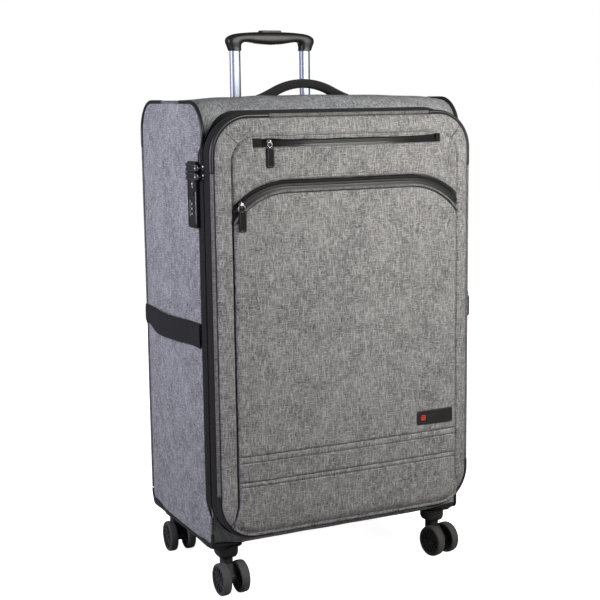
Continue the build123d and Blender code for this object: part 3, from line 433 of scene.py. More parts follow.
def rounded(corners, radii, closed=True, step=3.0):
    """A polygon with rounded corners as evenly spaced points."""
    points = []
    total = len(corners)
    for i, (corner, r) in enumerate(zip(corners, radii)):
        p = np.array(corner, float)
        if r <= 0:
            points.append(p)
            continue
        a = np.array(corners[i - 1], float) - p
        b = np.array(corners[(i + 1) % total], float) - p
        a /= np.linalg.norm(a)
        b /= np.linalg.norm(b)
        half = math.acos(float(np.clip(a @ b, -1, 1))) / 2
        centre = p + (a + b) / np.linalg.norm(a + b) * r / math.sin(half)
        start = p + a * r / math.tan(half) - centre
        end = p + b * r / math.tan(half) - centre
        first = math.atan2(start[1], start[0])
        turn = (math.atan2(end[1], end[0]) - first + math.pi) % (2 * math.pi) - math.pi
        for t in np.linspace(0, 1, max(5, int(abs(turn) * r / 1.5))):
            points.append(centre + r * np.array((math.cos(first + turn * t), math.sin(first + turn * t))))
    return resample(points, step, closed)


def rectangle(width, height, r, step=1.0, inset=0.0):
    w, h = width / 2 - inset, height / 2 - inset
    r = max(0.05, r - inset)
    return rounded([(-w, -h), (w, -h), (w, h), (-w, h)], [r] * 4, True, step)


def full_turn(count):
    return np.linspace(0, 2 * math.pi, count, endpoint=False)


def on_plane(plane, points, height):
    """Local points at a height over a plane, in space."""
    origin, ax, ay, az = plane
    return origin + points[:, :1] * ax + points[:, 1:] * ay + height * az


def woven_over(along, across):
    """Cloth coordinates over a grid, from the lengths along it and across it."""
    return np.stack(np.broadcast_arrays(along[:, None], across[None, :]), -1)


def soft_square(turn, power):
    """Cosine and sine round a circle that a power under 1 squares off."""
    cs, sn = np.cos(turn), np.sin(turn)
    return np.sign(cs) * np.abs(cs) ** power, np.sign(sn) * np.abs(sn) ** power


def outwards(path):
    """The direction away from the middle of a closed path that faces the front."""
    return np.cross(tangents(path, True), FRONT)


def upward(path):
    """The direction across an open path from left to right that faces the front."""
    return -np.cross(tangents(path, False), FRONT)


def quarter(r, distance):
    """Height of a circle's edge of radius r at a distance from its middle."""
    return np.sqrt(np.maximum(r**2 - distance**2, 0))


def raise_to(flat, y):
    """(x, z) points at one depth."""
    flat = np.asarray(flat, float)
    return np.column_stack([flat[:, 0], np.broadcast_to(np.asarray(y, float), (len(flat),)), flat[:, 1]])


def ripple(a, b, size, seed):
    """Smooth irregular waves about the given size, between roughly -1 and 1."""
    dice = np.random.default_rng(seed)
    waves = 7
    total = 0.0
    for _ in range(waves):
        way = dice.uniform(0, 2 * math.pi)
        pace = 2 * math.pi / (size * dice.uniform(0.6, 1.7))
        total = total + np.sin(pace * (a * math.cos(way) + b * math.sin(way)) + dice.uniform(0, 6.3))
    return total / waves ** 0.5 / 1.4


def smooth(value, low, high):
    t = np.clip((value - low) / (high - low), 0, 1)
    return t * t * (3 - 2 * t)


def plane_at(origin, ax, az):
    ax = np.asarray(ax, float) / np.linalg.norm(ax)
    az = np.asarray(az, float) / np.linalg.norm(az)
    return np.asarray(origin, float), ax, np.cross(az, ax), az


def front_plane(place):
    return plane_at(place, (1, 0, 0), (0, -1, 0))


def top_plane(place):
    return plane_at(place, (1, 0, 0), (0, 0, 1))


def left_plane(place, across=(0, -1, 0)):
    return plane_at(place, across, (-1, 0, 0))


# ---- Main sizes: the box is the CAD frame's, the radii and the mouth repeat the CAD part's ---
def box_mm(node):
    low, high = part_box(node)
    return np.array(low) * 1000 - BODY_MIDDLE, np.array(high) * 1000 - BODY_MIDDLE


def joint_places(text):
    """Where the joints whose names start or end with this text sit."""
    return {j["name"]: np.array(j["pos_m"]) * 1000 - BODY_MIDDLE for j in frame["joints"]
            if j["name"].startswith(text) or j["name"].endswith(text)}


wrap_low, wrap_high = box_mm("wrap_fabric")
CASE_FRONT, CASE_BACK = wrap_low[1], wrap_high[1]
CASE_LOW, CASE_TOP = wrap_low[2], wrap_high[2]
HALF = 230.0
TOP_R, REAR_R, FRONT_R = 52.0, 20.0, 8.0
FLARE = 6.0
MOUTH_LOW, MOUTH_HIGH, MOUTH_R = 103.0, 771.0, 62.0
MOUTH_MID_Z, MOUTH_HALF_HEIGHT = (MOUTH_LOW + MOUTH_HIGH) / 2, (MOUTH_HIGH - MOUTH_LOW) / 2


def mouth_path(inset, y, step):
    """The mouth's outline as a closed path, anticlockwise seen from the front."""
    x, low, high = HALF - inset, MOUTH_LOW + inset, MOUTH_HIGH - inset
    flat = rounded([(-x, low), (x, low), (x, high), (-x, high)], [MOUTH_R - inset] * 4, True, step)
    return raise_to(flat, y)


def side_path(x, inset, step):
    """The side's outline at x as a closed path."""
    front, back = CASE_FRONT + inset, CASE_BACK - inset
    low, high = CASE_LOW + inset, CASE_TOP - inset
    flat = rounded(
        [(front, low), (back, low), (back, high), (front, high)],
        [FRONT_R - inset, REAR_R - inset, TOP_R - inset, TOP_R - inset],
        True,
        step,
    )
    return np.column_stack([np.full(len(flat), x), flat[:, 0], flat[:, 1]])


# ---- Case fabric: the strip over top, back and bottom ---------------------
def mouth_top(x):
    beyond = np.clip(np.abs(x) - (HALF - MOUTH_R), 0, MOUTH_R)
    return MOUTH_HIGH - MOUTH_R + quarter(MOUTH_R, beyond)


def flare_at(x):
    """How far the flap flares beyond the mouth's top and bottom edges at x."""
    upright = quarter(1, np.clip(np.abs(x) - (HALF - MOUTH_R), 0, MOUTH_R) / MOUTH_R)
    return FLARE * smooth(upright, 0.4, 0.95)


def wrap_column(x):
    """The strip's section at x: from the mouth's top edge over the back to its lower edge."""
    high = float(mouth_top(x) + flare_at(x))
    low = MOUTH_LOW + MOUTH_HIGH - high
    top_y, top_z = CASE_FRONT + TOP_R, CASE_TOP - TOP_R
    reaches_arc = high > top_z
    begin = math.acos(min(1, (high - top_z) / TOP_R)) if reaches_arc else math.pi / 2
    section = [] if reaches_arc else [(CASE_FRONT, high)]
    for a in np.linspace(math.pi / 2 + begin, math.pi / 2, 24):
        section.append((top_y + TOP_R * math.cos(a), top_z + TOP_R * math.sin(a)))
    for centre, r, first, last in (
        ((CASE_BACK - TOP_R, CASE_TOP - TOP_R), TOP_R, math.pi / 2, 0),
        ((CASE_BACK - REAR_R, CASE_LOW + REAR_R), REAR_R, 0, -math.pi / 2),
        ((CASE_FRONT + FRONT_R, CASE_LOW + FRONT_R), FRONT_R, -math.pi / 2, -math.pi),
    ):
        for a in np.linspace(first, last, 20):
            section.append((centre[0] + r * math.cos(a), centre[1] + r * math.sin(a)))
    if low > CASE_LOW + FRONT_R:
        section.append((CASE_FRONT, low))
    section = np.array(section)
    return section, lengths(section)


STRIP_POINTS, STRIP_LENGTH, CROWN_HALF = 520, 2400, 222
WELL_HALF, WELL_FRONT, WELL_BACK = 95, 92, 122
columns = np.concatenate([[-228, -226, -223, -219], np.linspace(-214, 214, 108), [219, 223, 226, 228]])
sections = [wrap_column(x) for x in columns]
yz = np.array([sample(np.linspace(0, run[-1], STRIP_POINTS), run, section) for section, run in sections])
step = np.gradient(yz, axis=1)
step /= np.linalg.norm(step, axis=-1, keepdims=True) + 1e-9
outward = np.stack([-step[..., 1], step[..., 0]], -1)
edge = HALF - np.abs(columns)[:, None]
run = np.linspace(0, 1, STRIP_POINTS)[None, :] * STRIP_LENGTH
across, run = np.broadcast_arrays(columns[:, None], run)
lift = 2.0 * (1 - np.exp(-np.maximum(edge - 1.5, 0) / 14.0)) - 1.6
lift = lift + 0.9 * ripple(across, run, 95, 3) * smooth(edge, 4, 30)
on_back = smooth(yz[..., 0], 100, 136)
lift = lift + on_back * 1.2 * smooth(edge, 6, 70)
near_mouth = smooth(-yz[..., 0], 118, 134)
lift = lift * (1 - 0.7 * near_mouth)
crowned = smooth(yz[..., 1], 770, 789) * smooth(-yz[..., 0], -80, -10) * smooth(yz[..., 0], -128, -80)
lift = lift + 8.0 * crowned * np.cos(np.clip(across / CROWN_HALF, -1, 1) * math.pi / 2) ** 0.6
shell = np.empty(yz.shape[:2] + (3,))
shell[..., 0] = across
shell[..., 1:] = yz + outward * lift[..., None]
# the strip is open where the trolley's grip sinks in
x, y, z = shell[..., 0], shell[..., 1], shell[..., 2]
well = (np.abs(x) < WELL_HALF) & (y > WELL_FRONT) & (y < WELL_BACK) & (z > 700)
strip = Shape()
strip.sheet(shell, np.stack([across, run], -1), 1.6, hole=well)
strip.piece("wrap_cover", fabric_side_painted_cool_light, "case", ("wrap_fabric",), "fabric_grey")


# ---- Case fabric: side panels --------------------------------------------
def outline_end(z, end, sign, low_r):
    """The side's outline at its low and its high corner; sign is 1 at the front end, -1 at the rear."""
    below = np.clip(z, CASE_LOW, CASE_LOW + low_r)
    above = np.clip(z, CASE_TOP - TOP_R, CASE_TOP)
    return (end + sign * low_r - sign * quarter(low_r, CASE_LOW + low_r - below),
            end + sign * TOP_R - sign * quarter(TOP_R, above - CASE_TOP + TOP_R))


def panel_front(z):
    """The side panel's front edge: the case's outline, cut back behind the lock and the zip."""
    inner = -119.0 - 13.0 * smooth(z, 520, 700) - 10.0 * smooth(z, 705, 738) - 23.0 * smooth(-z, -156, -122)
    return np.maximum(np.maximum(*outline_end(z, CASE_FRONT, 1, FRONT_R)), inner)


def panel_back(z):
    """The side panel's rear edge."""
    return np.minimum(*outline_end(z, CASE_BACK, -1, REAR_R))


def side_cover(name, node, sign, seed):
    z = np.unique(np.concatenate([
        CASE_LOW + 1.5 + (1 - np.cos(np.linspace(0, math.pi / 2, 14))) * 20,
        np.linspace(106, 736, 190),
        CASE_TOP - 1.5 - (1 - np.cos(np.linspace(0, math.pi / 2, 26))) * 50,
    ]))
    share = 0.5 - 0.5 * np.cos(np.linspace(0, math.pi, 84))
    share = 0.5 * share + 0.5 * np.linspace(0, 1, 84)
    z = z[:, None] + 0 * share[None, :]
    front, back = panel_front(z) + 1.0, panel_back(z) - 1.0
    y = front + (back - front) * share[None, :]
    margin = np.minimum(np.minimum(y - front, back - y), np.minimum(z - CASE_LOW, CASE_TOP - z)) + 0.5
    crown = 4.2 * (1 - np.exp(-margin / 30)) - 1.8 * np.exp(-margin / 3.0)
    crown = crown + 1.0 * ripple(y, z, 130, seed) * smooth(margin, 4, 50)
    crown = crown + 0.35 * ripple(y, z, 38, seed + 1) * smooth(margin, 4, 30)
    if sign < 0:
        # a shallow hollow behind the lock leaves room for its button's travel
        low, high = box_mm("lock_body")
        edge = np.minimum(np.minimum(y - low[1], high[1] - y), np.minimum(z - low[2], high[2] - z))
        crown = crown - 3.4 * smooth(edge, 1.5, 7)
    points = np.stack([sign * (HALF - 0.6 + crown), y, z], -1)
    cover = Shape()
    cover.sheet(points, np.stack([y, z], -1), 1.6, facing=(sign, 0, 0))
    cover.piece(name, fabric_side_painted_cool_light, "case", (node,), "fabric_grey")


side_cover("side_cover_left", "side_panel_left", -1, 11)
side_cover("side_cover_right", "side_panel_right", 1, 17)


def stretch(path, test):
    """The stretch of a closed path where the test holds, in order along it."""
    flags = test.astype(int)
    first = int(np.argmax((flags - np.roll(flags, 1)) == 1))
    return np.roll(path, -first, 0)[: int(flags.sum())]


# ---- Piped side seams ------------------------------------------------------
# the upright seam is broken at the front between these heights, where the mouth's flap covers it
GAP_LOW, GAP_HIGH = 136, 738
cords, sleeves = Shape(), Shape()
for sign in (-1, 1):
    x = sign * (HALF - 1.2)
    loop = side_path(x, -0.2, 2.0)
    out = np.array((sign, 0.0, 0.0))
    y, z = loop[:, 1], loop[:, 2]
    bottom = z < CASE_LOW + 26
    mouth_gap = (y < CASE_FRONT + 2) & (z > GAP_LOW) & (z < GAP_HIGH)
    rear_corner = (z > 712) & (y > 32)
    front_corner = (z > 735) & (y < -43)
    cords.tube(stretch(loop, (y > 100) & ~bottom & (z < 716)), 2.5, out)
    cords.tube(stretch(loop, (z > CASE_TOP - 3) & (y > -47) & (y < 36)), 2.5, out)
    cords.tube(stretch(loop, (y < -100) & ~mouth_gap & (z > 104) & (z < 140)), 2.5, out)
    for flags in (rear_corner, front_corner):
        path = stretch(loop, flags)
        swell = np.full(len(path), 3.1)
        swell[:2] = swell[-2:] = 2.7
        sleeves.tube(path, swell, out, sides=14)
    sleeves.tube(stretch(loop, bottom), 2.6, out)
    # below the front corner the side panel's bound edge runs down behind the flap
    falling = np.linspace(GAP_HIGH, 610, 60)
    bound_edge = np.column_stack([np.full(len(falling), x), panel_front(falling) + 0.4, falling])
    sleeves.tube(bound_edge, np.linspace(2.7, 1.4, len(falling)), out, sides=14)
cords.piece("side_cords", fabric_cord, "case", ("side_pipings",), "piping_grey")
sleeves.piece("side_sleeves", sleeve_pvc, "case", ("side_piping_sleeves",), "piping_black")

# ---- Black flap, lid band and the main zip between them --------------------
FLAP_BACK, FLAP_FRONT = -119.6, -142.4
BAND_BACK, BAND_FRONT = -145.1, -170.0


def band_profile(back, front):
    """Closed section of a fabric band: (outwards, forwards from y = 0)."""
    width, thick = back - front, 2.2
    outer = [(math.sin(math.pi * t) ** 0.7 - 0.9 * (abs(2 * t - 1) ** 8), -back + width * t)
             for t in np.linspace(0, 1, 17)]
    inner = [(-thick, -front), (-thick, -back)]
    return outer + inner


# The flap's rear edge flares out to the case's cut edge along the top and the bottom.
mid = mouth_path(0.2, 0.0, 3.0)
outward = outwards(mid)
raised, lowered = smooth(outward[:, 2], 0.4, 0.95), smooth(-outward[:, 2], 0.4, 0.95)
flap_back = FLAP_BACK - 5.0 * raised - 20.4 * lowered
share = np.linspace(0, 1, 17)
swell = FLARE * (raised + lowered)[:, None] * (1 - share) ** 1.2 + 0.9 * np.sin(math.pi * share) ** 0.7
depth = flap_back[:, None] + (FLAP_FRONT - flap_back[:, None]) * share
outer = mid[:, None] + swell[..., None] * outward[:, None] - depth[..., None] * FRONT
flap = Shape()
flap.sheet(outer, woven_over(lengths(mid), share * 23), 2.0, around_u=True)
flap.piece("zip_flap", black_fabric, "case", ("main_zip_flap",), "fabric_black")
band = Shape()
band.sweep(mid, band_profile(BAND_BACK, BAND_FRONT))
band.piece("lid_band_cover", black_fabric, "lid_frame", ("lid_band",), "fabric_black")


def band_stitches(y_list, body, name):
    lines = Shape()
    for y in y_list:
        path = mouth_path(-0.45, y, 4.0)
        lines.stitches(path, outwards(path), True, 3.6, 2.4, 0.6, 0.35)
    lines.piece(name, thread_dark_and_painted_shade, body, slot="fabric_black")


band_stitches((-139.6,), "case", "flap_stitches")
band_stitches((-148.6, -166.6), "lid_frame", "band_stitches")


TAPE_OUT, TAPE_THICK, TAPE_WIDE, TOOTH_PITCH = -2.9, 0.8, 12, 2.0


def zip_side(name, body, node, edge_y, sign):
    """Tape and coil of one half of the main zip; sign is towards the tape's own side."""
    part = Shape()
    inner, far = TAPE_OUT - TAPE_THICK, -edge_y - sign * TAPE_WIDE
    profile = [(TAPE_OUT, -edge_y), (TAPE_OUT, far), (inner, far), (inner, -edge_y)]
    part.sweep(mid, profile)
    part.piece(name + "_tape", zip_tape, body, (node,), "zip_black")
    teeth = Shape()
    path = mouth_path(2.0, edge_y + sign * 0.9, 2.0)
    outward = outwards(path)
    run = lengths(np.concatenate([path, path[:1]]))
    spots = np.arange(0.0 if sign > 0 else TOOTH_PITCH / 2, run[-1], TOOTH_PITCH)
    centre, normal = (sample(spots, run, np.concatenate([values, values[:1]])) for values in (path, outward))
    side = np.broadcast_to(FRONT * -sign, centre.shape)
    along = np.cross(normal, side)
    for c, n, s, a in zip(centre, normal, side, along):
        rows = [[c + s * d + a * 0.55 * w + n * h for w, h in ((-1, -0.6), (-0.7, 0.5), (0.7, 0.5), (1, -0.6))]
                for d in (-1.5, 1.5)]
        teeth.bar(np.array(rows))
    teeth.piece(name + "_coil", zip_coil, body, slot="zip_black")


zip_side("main_zip_case", "case", "main_zip_case_tape", -142.9, 1)
zip_side("main_zip_lid", "lid_frame", "main_zip_lid_tape", -144.6, -1)

# The second zip, closed, along the front edge of the band.
expander = Shape()
expander.sweep(mid, [(0.35, 170.4), (0.35, 171.6), (-3.4, 171.6), (-3.4, 162.0), (-2.6, 162.0), (-2.6, 170.4)])
expander.piece("expander_zip", coated_tape, "lid_frame", ("expander_zip_tape",), "zip_black")

# Hinge tape inside the right edge and the folded gusset between band and panel.
HINGE_X = 226.0
hinge = Shape()
grid_y, grid_z = np.meshgrid(np.linspace(-120, -166, 26), np.linspace(180, 694, 120), indexing="ij")
sag = 0.8 * np.sin((grid_y + 120) / 46 * math.pi) + 0.25 * ripple(grid_y, grid_z, 40, 5)
hinge.sheet(np.stack([HINGE_X - sag, grid_y, grid_z], -1), np.stack([grid_y, grid_z], -1), 0.9, facing=(-1, 0, 0))
hinge_piece = hinge.piece("hinge_tape", black_fabric, None, ("lid_hinge_tape",), "fabric_black")
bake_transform(hinge_piece)

gusset = Shape()
folds = [(-5.0 - 1.6 * math.cos(k * math.pi), 165.5 + k * 0.62) for k in range(11)]
thick = [(a - 0.7, b) for a, b in folds[::-1]]
gusset.sweep(mid, folds + thick)
gusset_piece = gusset.piece("expander_fabric", black_fabric, None, ("expander_gusset",), "fabric_black")
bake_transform(gusset_piece)

# ---- Front panel ---------------------------------------------------------
PIPE_Y = -173.5
PIPE_INSET = 2.0
ARC_X, ARC_Z = 109.0, 541.0
POCKET_R = 112.4
SEAM, SEAM_TOP = 200.0, 738.0
TOP_ZIP_HALF, TOP_ZIP_Z = 166.0, 728.0


def panel_half_width(z, inset):
    """Half width of the panel at height z, inside the piping."""
    r = MOUTH_R - inset
    reach = HALF - inset - r
    dz = np.maximum(np.maximum(z - (MOUTH_HIGH - MOUTH_R), (MOUTH_LOW + MOUTH_R) - z), 0)
    return reach + quarter(r, dz)


def corner_distance(qx, qz, r):
    """Distance inside a rounded corner, from the distances beyond its centre's lines."""
    outside = np.hypot(np.maximum(qx, 0), np.maximum(qz, 0)) + np.minimum(np.maximum(qx, qz), 0)
    return r - outside


def edge_distance(x, z, inset):
    """Distance inside the rounded outline."""
    beyond_z = np.abs(z - MOUTH_MID_Z) - (MOUTH_HALF_HEIGHT - MOUTH_R)
    return corner_distance(np.abs(x) - (HALF - MOUTH_R), beyond_z, MOUTH_R - inset)


def pad_distance(x, z):
    """Distance inside the inner seam; near the bottom it swings out to the piping's corner."""
    r = 40.0
    return corner_distance(np.abs(x) - (SEAM - r), z - (SEAM_TOP - r), r) + 9.0 * smooth(-z, -168, -118)


def arc_distance(x, z):
    """Distance from the pocket's corner centres, above them; 0 below."""
    return np.where(z > ARC_Z, np.hypot(np.maximum(np.abs(x) - ARC_X, 0), z - ARC_Z), 0)


def groove(distance, half, depth):
    return -depth * np.exp(-((distance / half) ** 2))


def panel_height(x, z):
    """How far the cover stands in front of the piping's middle, outside the pocket."""
    d = edge_distance(x, z, 4.5)
    rim = np.clip(1 - d / 26.0, 0, 1)
    border = 0.4 + 12.2 * quarter(1, rim)
    inner = pad_distance(x, z)
    roll = np.clip(1 - np.maximum(inner, 0) / 8.0, 0, 1)
    pad = 12.4 + 3.2 * quarter(1, roll)
    share = smooth(inner, -0.6, 0.6)
    height = border * (1 - share) + pad * share
    height = height + groove(inner, 1.7, 3.9)
    # mitred seam from the piping's corner to the inner seam's corner
    corner = (np.abs(x) - 171.5) - (z - 709.5)
    on_mitre = (np.abs(x) > 180) & (z > 700) & (inner < 0)
    height = height + np.where(on_mitre, groove(corner * 0.7, 1.2, 2.0), 0)
    height = height + 0.5 * ripple(x, z, 60, 23) * smooth(d, 5, 30)
    window = smooth(TOP_ZIP_HALF - np.abs(x), -0.7, 0.7) * smooth(z, 720.3, 721.7) * smooth(-z, -736.2, -734.8)
    height = height - 5.0 * window
    tray = smooth(-arc_distance(x, z), -131.2, -129.6) * smooth(inner, 0.2, 1.4)
    return height - 6.5 * tray


def cover_grid(low, high, rows, cols, half_width):
    """Grid over a shape of varying half width, a little denser near its sides."""
    taper = 0.25
    z = np.linspace(low, high, rows)[:, None]
    share = np.linspace(-1, 1, cols)[None, :]
    share = (1 - taper) * share + taper * np.sin(share * math.pi / 2)
    return half_width(z) * share, z + 0 * share


gx, gz = cover_grid(107.6, 766.4, 330, 240, lambda z: panel_half_width(z, 4.6))
height = panel_height(gx, gz)
panel = Shape()
panel.sheet(np.stack([gx, PIPE_Y - height, gz], -1), np.stack([gx, gz], -1), 1.8, facing=(0, -1, 0))
panel.piece("front_panel_cover", fabric_front, "front_panel", ("front_panel_shell",), "fabric_grey")


def pocket_half_width(z):
    """Half width of the pocket's cover at height z."""
    top = ARC_X + quarter(POCKET_R, np.maximum(z - ARC_Z, 0))
    side = SEAM - 1.2 + 8.6 * smooth(-z, -168, -120)
    return np.minimum(np.minimum(top, side), panel_half_width(z, 5.0))


PLEATS = (241.0, 230.0, 199.0, 191.0)


def pocket_height(x, z):
    """How far the pocket's cover stands in front of the piping's middle."""
    side = pocket_half_width(z) - np.abs(x)
    top = np.where(z > ARC_Z, POCKET_R - arc_distance(x, z), 999)
    bottom = edge_distance(x, z, 5.0)
    e = np.maximum(np.minimum(np.minimum(side, top), bottom), 0)
    roll = np.clip(1 - e / 9.0, 0, 1)
    low = np.clip(1 - bottom / 26.0, 0, 1)
    base = 11.0 * quarter(1, low) + 0.6
    h = base + 6.0 * quarter(1, roll) * smooth(bottom, -4, 18)
    h = h + 4.6 * (1 - np.exp(-e / 45.0))
    fade = smooth(side, 0.5, 6)
    for k, pleat in enumerate(PLEATS):
        h = h + groove(z - pleat, 1.7, 2.6) * fade
        h = h + 1.0 * np.exp(-np.maximum(pleat - z, 0) / 6.0) * (z < pleat) * fade * (k % 2 == 1)
    h = h + 0.9 * ripple(x, z, 170, 31) * smooth(e, 8, 60) + 0.3 * ripple(x, z, 45, 37) * smooth(e, 6, 40)
    return h


gx, gz = cover_grid(108.0, ARC_Z + 112.3, 420, 230, pocket_half_width)
height = pocket_height(gx, gz)
pocket = Shape()
pocket.sheet(np.stack([gx, PIPE_Y - height, gz], -1), np.stack([gx, gz + 31.0], -1), 1.8, facing=(0, -1, 0))
pocket.piece("front_pocket_cover", fabric_front, "front_panel", ("front_pocket_panel",), "fabric_grey")


def lay(flat, height_of, back=0.0):
    """(x, z) points as a line on a cover of the given height, moved back by a little."""
    flat = np.asarray(flat, float)
    return raise_to(flat, PIPE_Y - height_of(flat[:, 0], flat[:, 1]) + back)


def level_line(z, half, count):
    return np.array([(x, z) for x in np.linspace(-half, half, count)])


# Piping round the panel: grey cord on the straights, black sleeves at the corners.
cord, sleeve = Shape(), Shape()
rim_path = mouth_path(PIPE_INSET, PIPE_Y, 2.0)
cord.tube(rim_path, 2.8, FRONT, True, 12)
cord.piece("front_cord", fabric_cord, "front_panel", ("front_piping",), "piping_grey")
for sx, sz, x_end, z_end in ((-1, 1, 131, 683), (1, 1, 152, 680), (1, -1, 150, 179), (-1, -1, 135, 181)):
    path = stretch(rim_path, (rim_path[:, 0] * sx > x_end) & ((rim_path[:, 2] - z_end) * sz > 0))
    swell = np.full(len(path), 3.4)
    swell[0] = swell[-1] = 3.0
    sleeve.tube(path, swell, FRONT, False, 14)
sleeve.piece("front_sleeves", sleeve_pvc, "front_panel", ("front_piping_sleeves",), "piping_black")
# Dark tube just inside the piping: painted shade of the seam beside the cord.
front_seam_shade = Shape()
inner_rim = mouth_path(5.6, PIPE_Y - 2.4, 3.0)
front_seam_shade.tube(inner_rim, 1.2, FRONT, True, 6)
front_seam_shade.piece("front_seam_line", thread_dark_and_painted_shade, "front_panel", slot="fabric_black")
rim_thread = Shape()
rim_out = mouth_path(PIPE_INSET + 1.6, PIPE_Y - 2.35, 3.0)
tilted = outwards(rim_out) * -0.5 + FRONT * 0.85
rim_thread.stitches(rim_out, tilted, True, 3.4, 2.2, 0.6, 0.35)
rim_thread.piece("piping_stitches", thread_grey, "front_panel", slot="piping_grey")

# Inner seam: a dark tube laid in the sunken groove round the padded middle, painted shade of the groove; the two short
# tubes paint the same shade in the mitred seams.
left_side = [(-SEAM - 8.0, 121.0), (-SEAM - 3.4, 137.0), (-SEAM - 0.2, 160.0)]
inner_seam = rounded(
    left_side + [(-SEAM, SEAM_TOP), (SEAM, SEAM_TOP)] + [(-x, z) for x, z in left_side[::-1]],
    [0, 30, 30, 40, 40, 30, 30, 0],
    False,
    3.0,
)
inner_seam_shade = Shape()
inner_seam_shade.tube(lay(inner_seam, panel_height, -0.1), 1.25, FRONT, False, 6)
for side in (-1, 1):
    flat = np.array([(side * x, x + 538.0) for x in np.linspace(187, 208, 14)])
    inner_seam_shade.tube(lay(flat, panel_height, -0.3), 1.0, FRONT, False, 6)
inner_seam_shade.piece("inner_seam_line", thread_dark_and_painted_shade, "front_panel", slot="fabric_black")


# ---- Zips of the two pockets ----------------------------------------------
def arc_path(r, half):
    """The pocket's arched line at radius r, from left to right, within +-half."""
    angle = math.acos(min(1.0, (half - ARC_X) / r))
    left = [(-ARC_X - r * math.cos(a), ARC_Z + r * math.sin(a)) for a in np.linspace(angle, math.pi / 2, 40)]
    right = [(-x, z) for x, z in left[::-1]]
    return resample(left + right, 3.0, False)


def tilt_strip(shape, flat, section):
    """A strip along a flat path; section is (offset upwards, height in front of the piping)."""
    path = raise_to(flat, 0)
    section = np.asarray(section, float)
    points = path[:, None] + section[None, :, :1] * upward(path)[:, None]
    points[..., 1] = PIPE_Y + -section[None, :, 1]
    shape.sheet(points, woven_over(lengths(path), section[:, 0]), 1.0, facing=FRONT)


tape_section = [(-8.2, 16.6), (-7.4, 16.3), (-4.0, 14.8), (-1.9, 13.9), (-1.5, 14.6), (-0.5, 14.4), (-0.15, 13.6),
                (0.15, 13.6), (0.5, 14.0), (1.5, 13.4), (1.9, 12.3), (4.5, 10.6), (8.6, 8.4)]
tape = Shape()
tilt_strip(tape, arc_path(122.0, 198.6), tape_section)
tape.piece("front_pocket_zip", coated_tape, "front_panel", ("front_pocket_zip_tape",), "zip_black")

welt = Shape()
welt.tube(raise_to(arc_path(112.6, 198.4), PIPE_Y - 17.6), 1.9, FRONT, False, 10)
welt.piece("pocket_welt", fabric_cord, "front_panel", slot="piping_grey")
# Dark tube along the pocket's fold under the welt: painted shade of the seam groove.
pocket_fold_shade = Shape()
pocket_fold_shade.tube(lay(arc_path(109.4, 198.0), pocket_height, 0.2), 0.85, FRONT, False, 6)
pocket_fold_shade.piece("pocket_fold_line", thread_dark_and_painted_shade, "front_panel", slot="fabric_black")
hem = Shape()
hem.tube(lay(arc_path(131.6, 198.6), lambda x, z: panel_height(x, z + 1.2), 1.0), 1.5, FRONT, False, 8)
hem.piece("panel_hem", fabric_cord, "front_panel", slot="piping_grey")

window = Shape()
top_section = [(-6.9, 15.2), (-6.0, 14.9), (-2.2, 13.2), (-1.9, 13.5), (-0.4, 13.1), (-0.15, 12.3), (0.15, 12.3),
               (0.4, 12.6), (1.9, 12.2), (2.2, 11.5), (6.9, 9.2)]
tilt_strip(window, np.array([(x, TOP_ZIP_Z) for x in (-TOP_ZIP_HALF, -60, 60, TOP_ZIP_HALF)]), top_section)
window.piece("top_pocket_zip", coated_tape, "front_panel", ("top_pocket_zip_tape",), "zip_black")
lips = Shape()
for z, r, away in ((735.4, 1.5, 2.0), (720.4, 1.2, -2.0)):
    line = lay(level_line(z, 166.5, 60), lambda x, z: panel_height(x, z + away), 0.9)
    lips.tube(line, r, FRONT, False, 8)
lips.piece("window_lips", fabric_cord, "front_panel", slot="piping_grey")
ends = Shape()
for sign, wide in ((-1, 15.0), (1, 8.0)):
    x = sign * (TOP_ZIP_HALF - wide / 2)
    ends.plate(front_plane((x, PIPE_Y - 13.4, TOP_ZIP_Z)), wide, 14.2, 1.2,
                   [(-2, 0), (1.0, 0), (1.7, 0.7)], 48)
ends.piece("window_end_patches", black_fabric, "front_panel", slot="fabric_black", angle=40)
panel_thread = Shape()
for flat in (level_line(716.6, 164, 60), arc_path(135.6, 198.0)):
    panel_thread.stitches(lay(flat, panel_height), FRONT, False, 4.0, 2.6, 0.7, 0.4)
for pleat in (227.6, 188.6):
    panel_thread.stitches(lay(level_line(pleat, 197, 80), pocket_height), FRONT, False, 4.0, 2.6, 0.6, 0.4)
panel_thread.piece("panel_stitches", thread_dark_and_painted_shade, "front_panel", slot="fabric_black")

# Pleat folds: a thin dark tube under each tuck, painted shade where the tuck overhangs.
pleat_shade = Shape()
for pleat in PLEATS:
    pleat_shade.tube(lay(level_line(pleat, 198, 120), pocket_height, 0.1), 0.85, FRONT, False, 6)
pleat_shade.piece("pleat_creases", thread_dark_and_painted_shade, "front_panel", slot="fabric_black")

# ---- Badge ------------------------------------------------------------------
badge_low, badge_high = box_mm("label_badge")
bx, bz = (badge_low[[0, 2]] + badge_high[[0, 2]]) / 2
bw, bh = (badge_high - badge_low)[[0, 2]]
badge_y = PIPE_Y - float(pocket_height(np.array([bx]), np.array([bz]))[0])
badge = Shape()
badge.plate(front_plane((bx, badge_y, bz)), bw, bh, 3.0,
               [(-2.5, 0.2), (0.8, 0.0), (1.5, 0.3), (1.9, 1.0), (1.9, 1.6), (1.5, 2.0)], 96)
badge.piece("badge", badge_plate, "front_panel", ("label_badge",), "badge", angle=40)
mark = Shape()
bars = [(0.0, dz, 7.6, 1.7, 0.45, 0.6) for dz in (-3.2, 0.0, 3.2)]
bars += [(dx, 0.0, 1.5, 8.0, 0.42, 0.55) for dx in (-3.2, 3.2)]
for dx, dz, wide, tall, low, high in bars:
    place = (bx - bw / 2 + 12.5 + dx, badge_y - 1.4, bz + dz)
    mark.plate(front_plane(place), wide, tall, 0.5,
                   [(-0.2, 0), (low, 0), (high, 0.2)], 32)
mark.piece("badge_mark", red_paint, "front_panel", slot="badge")


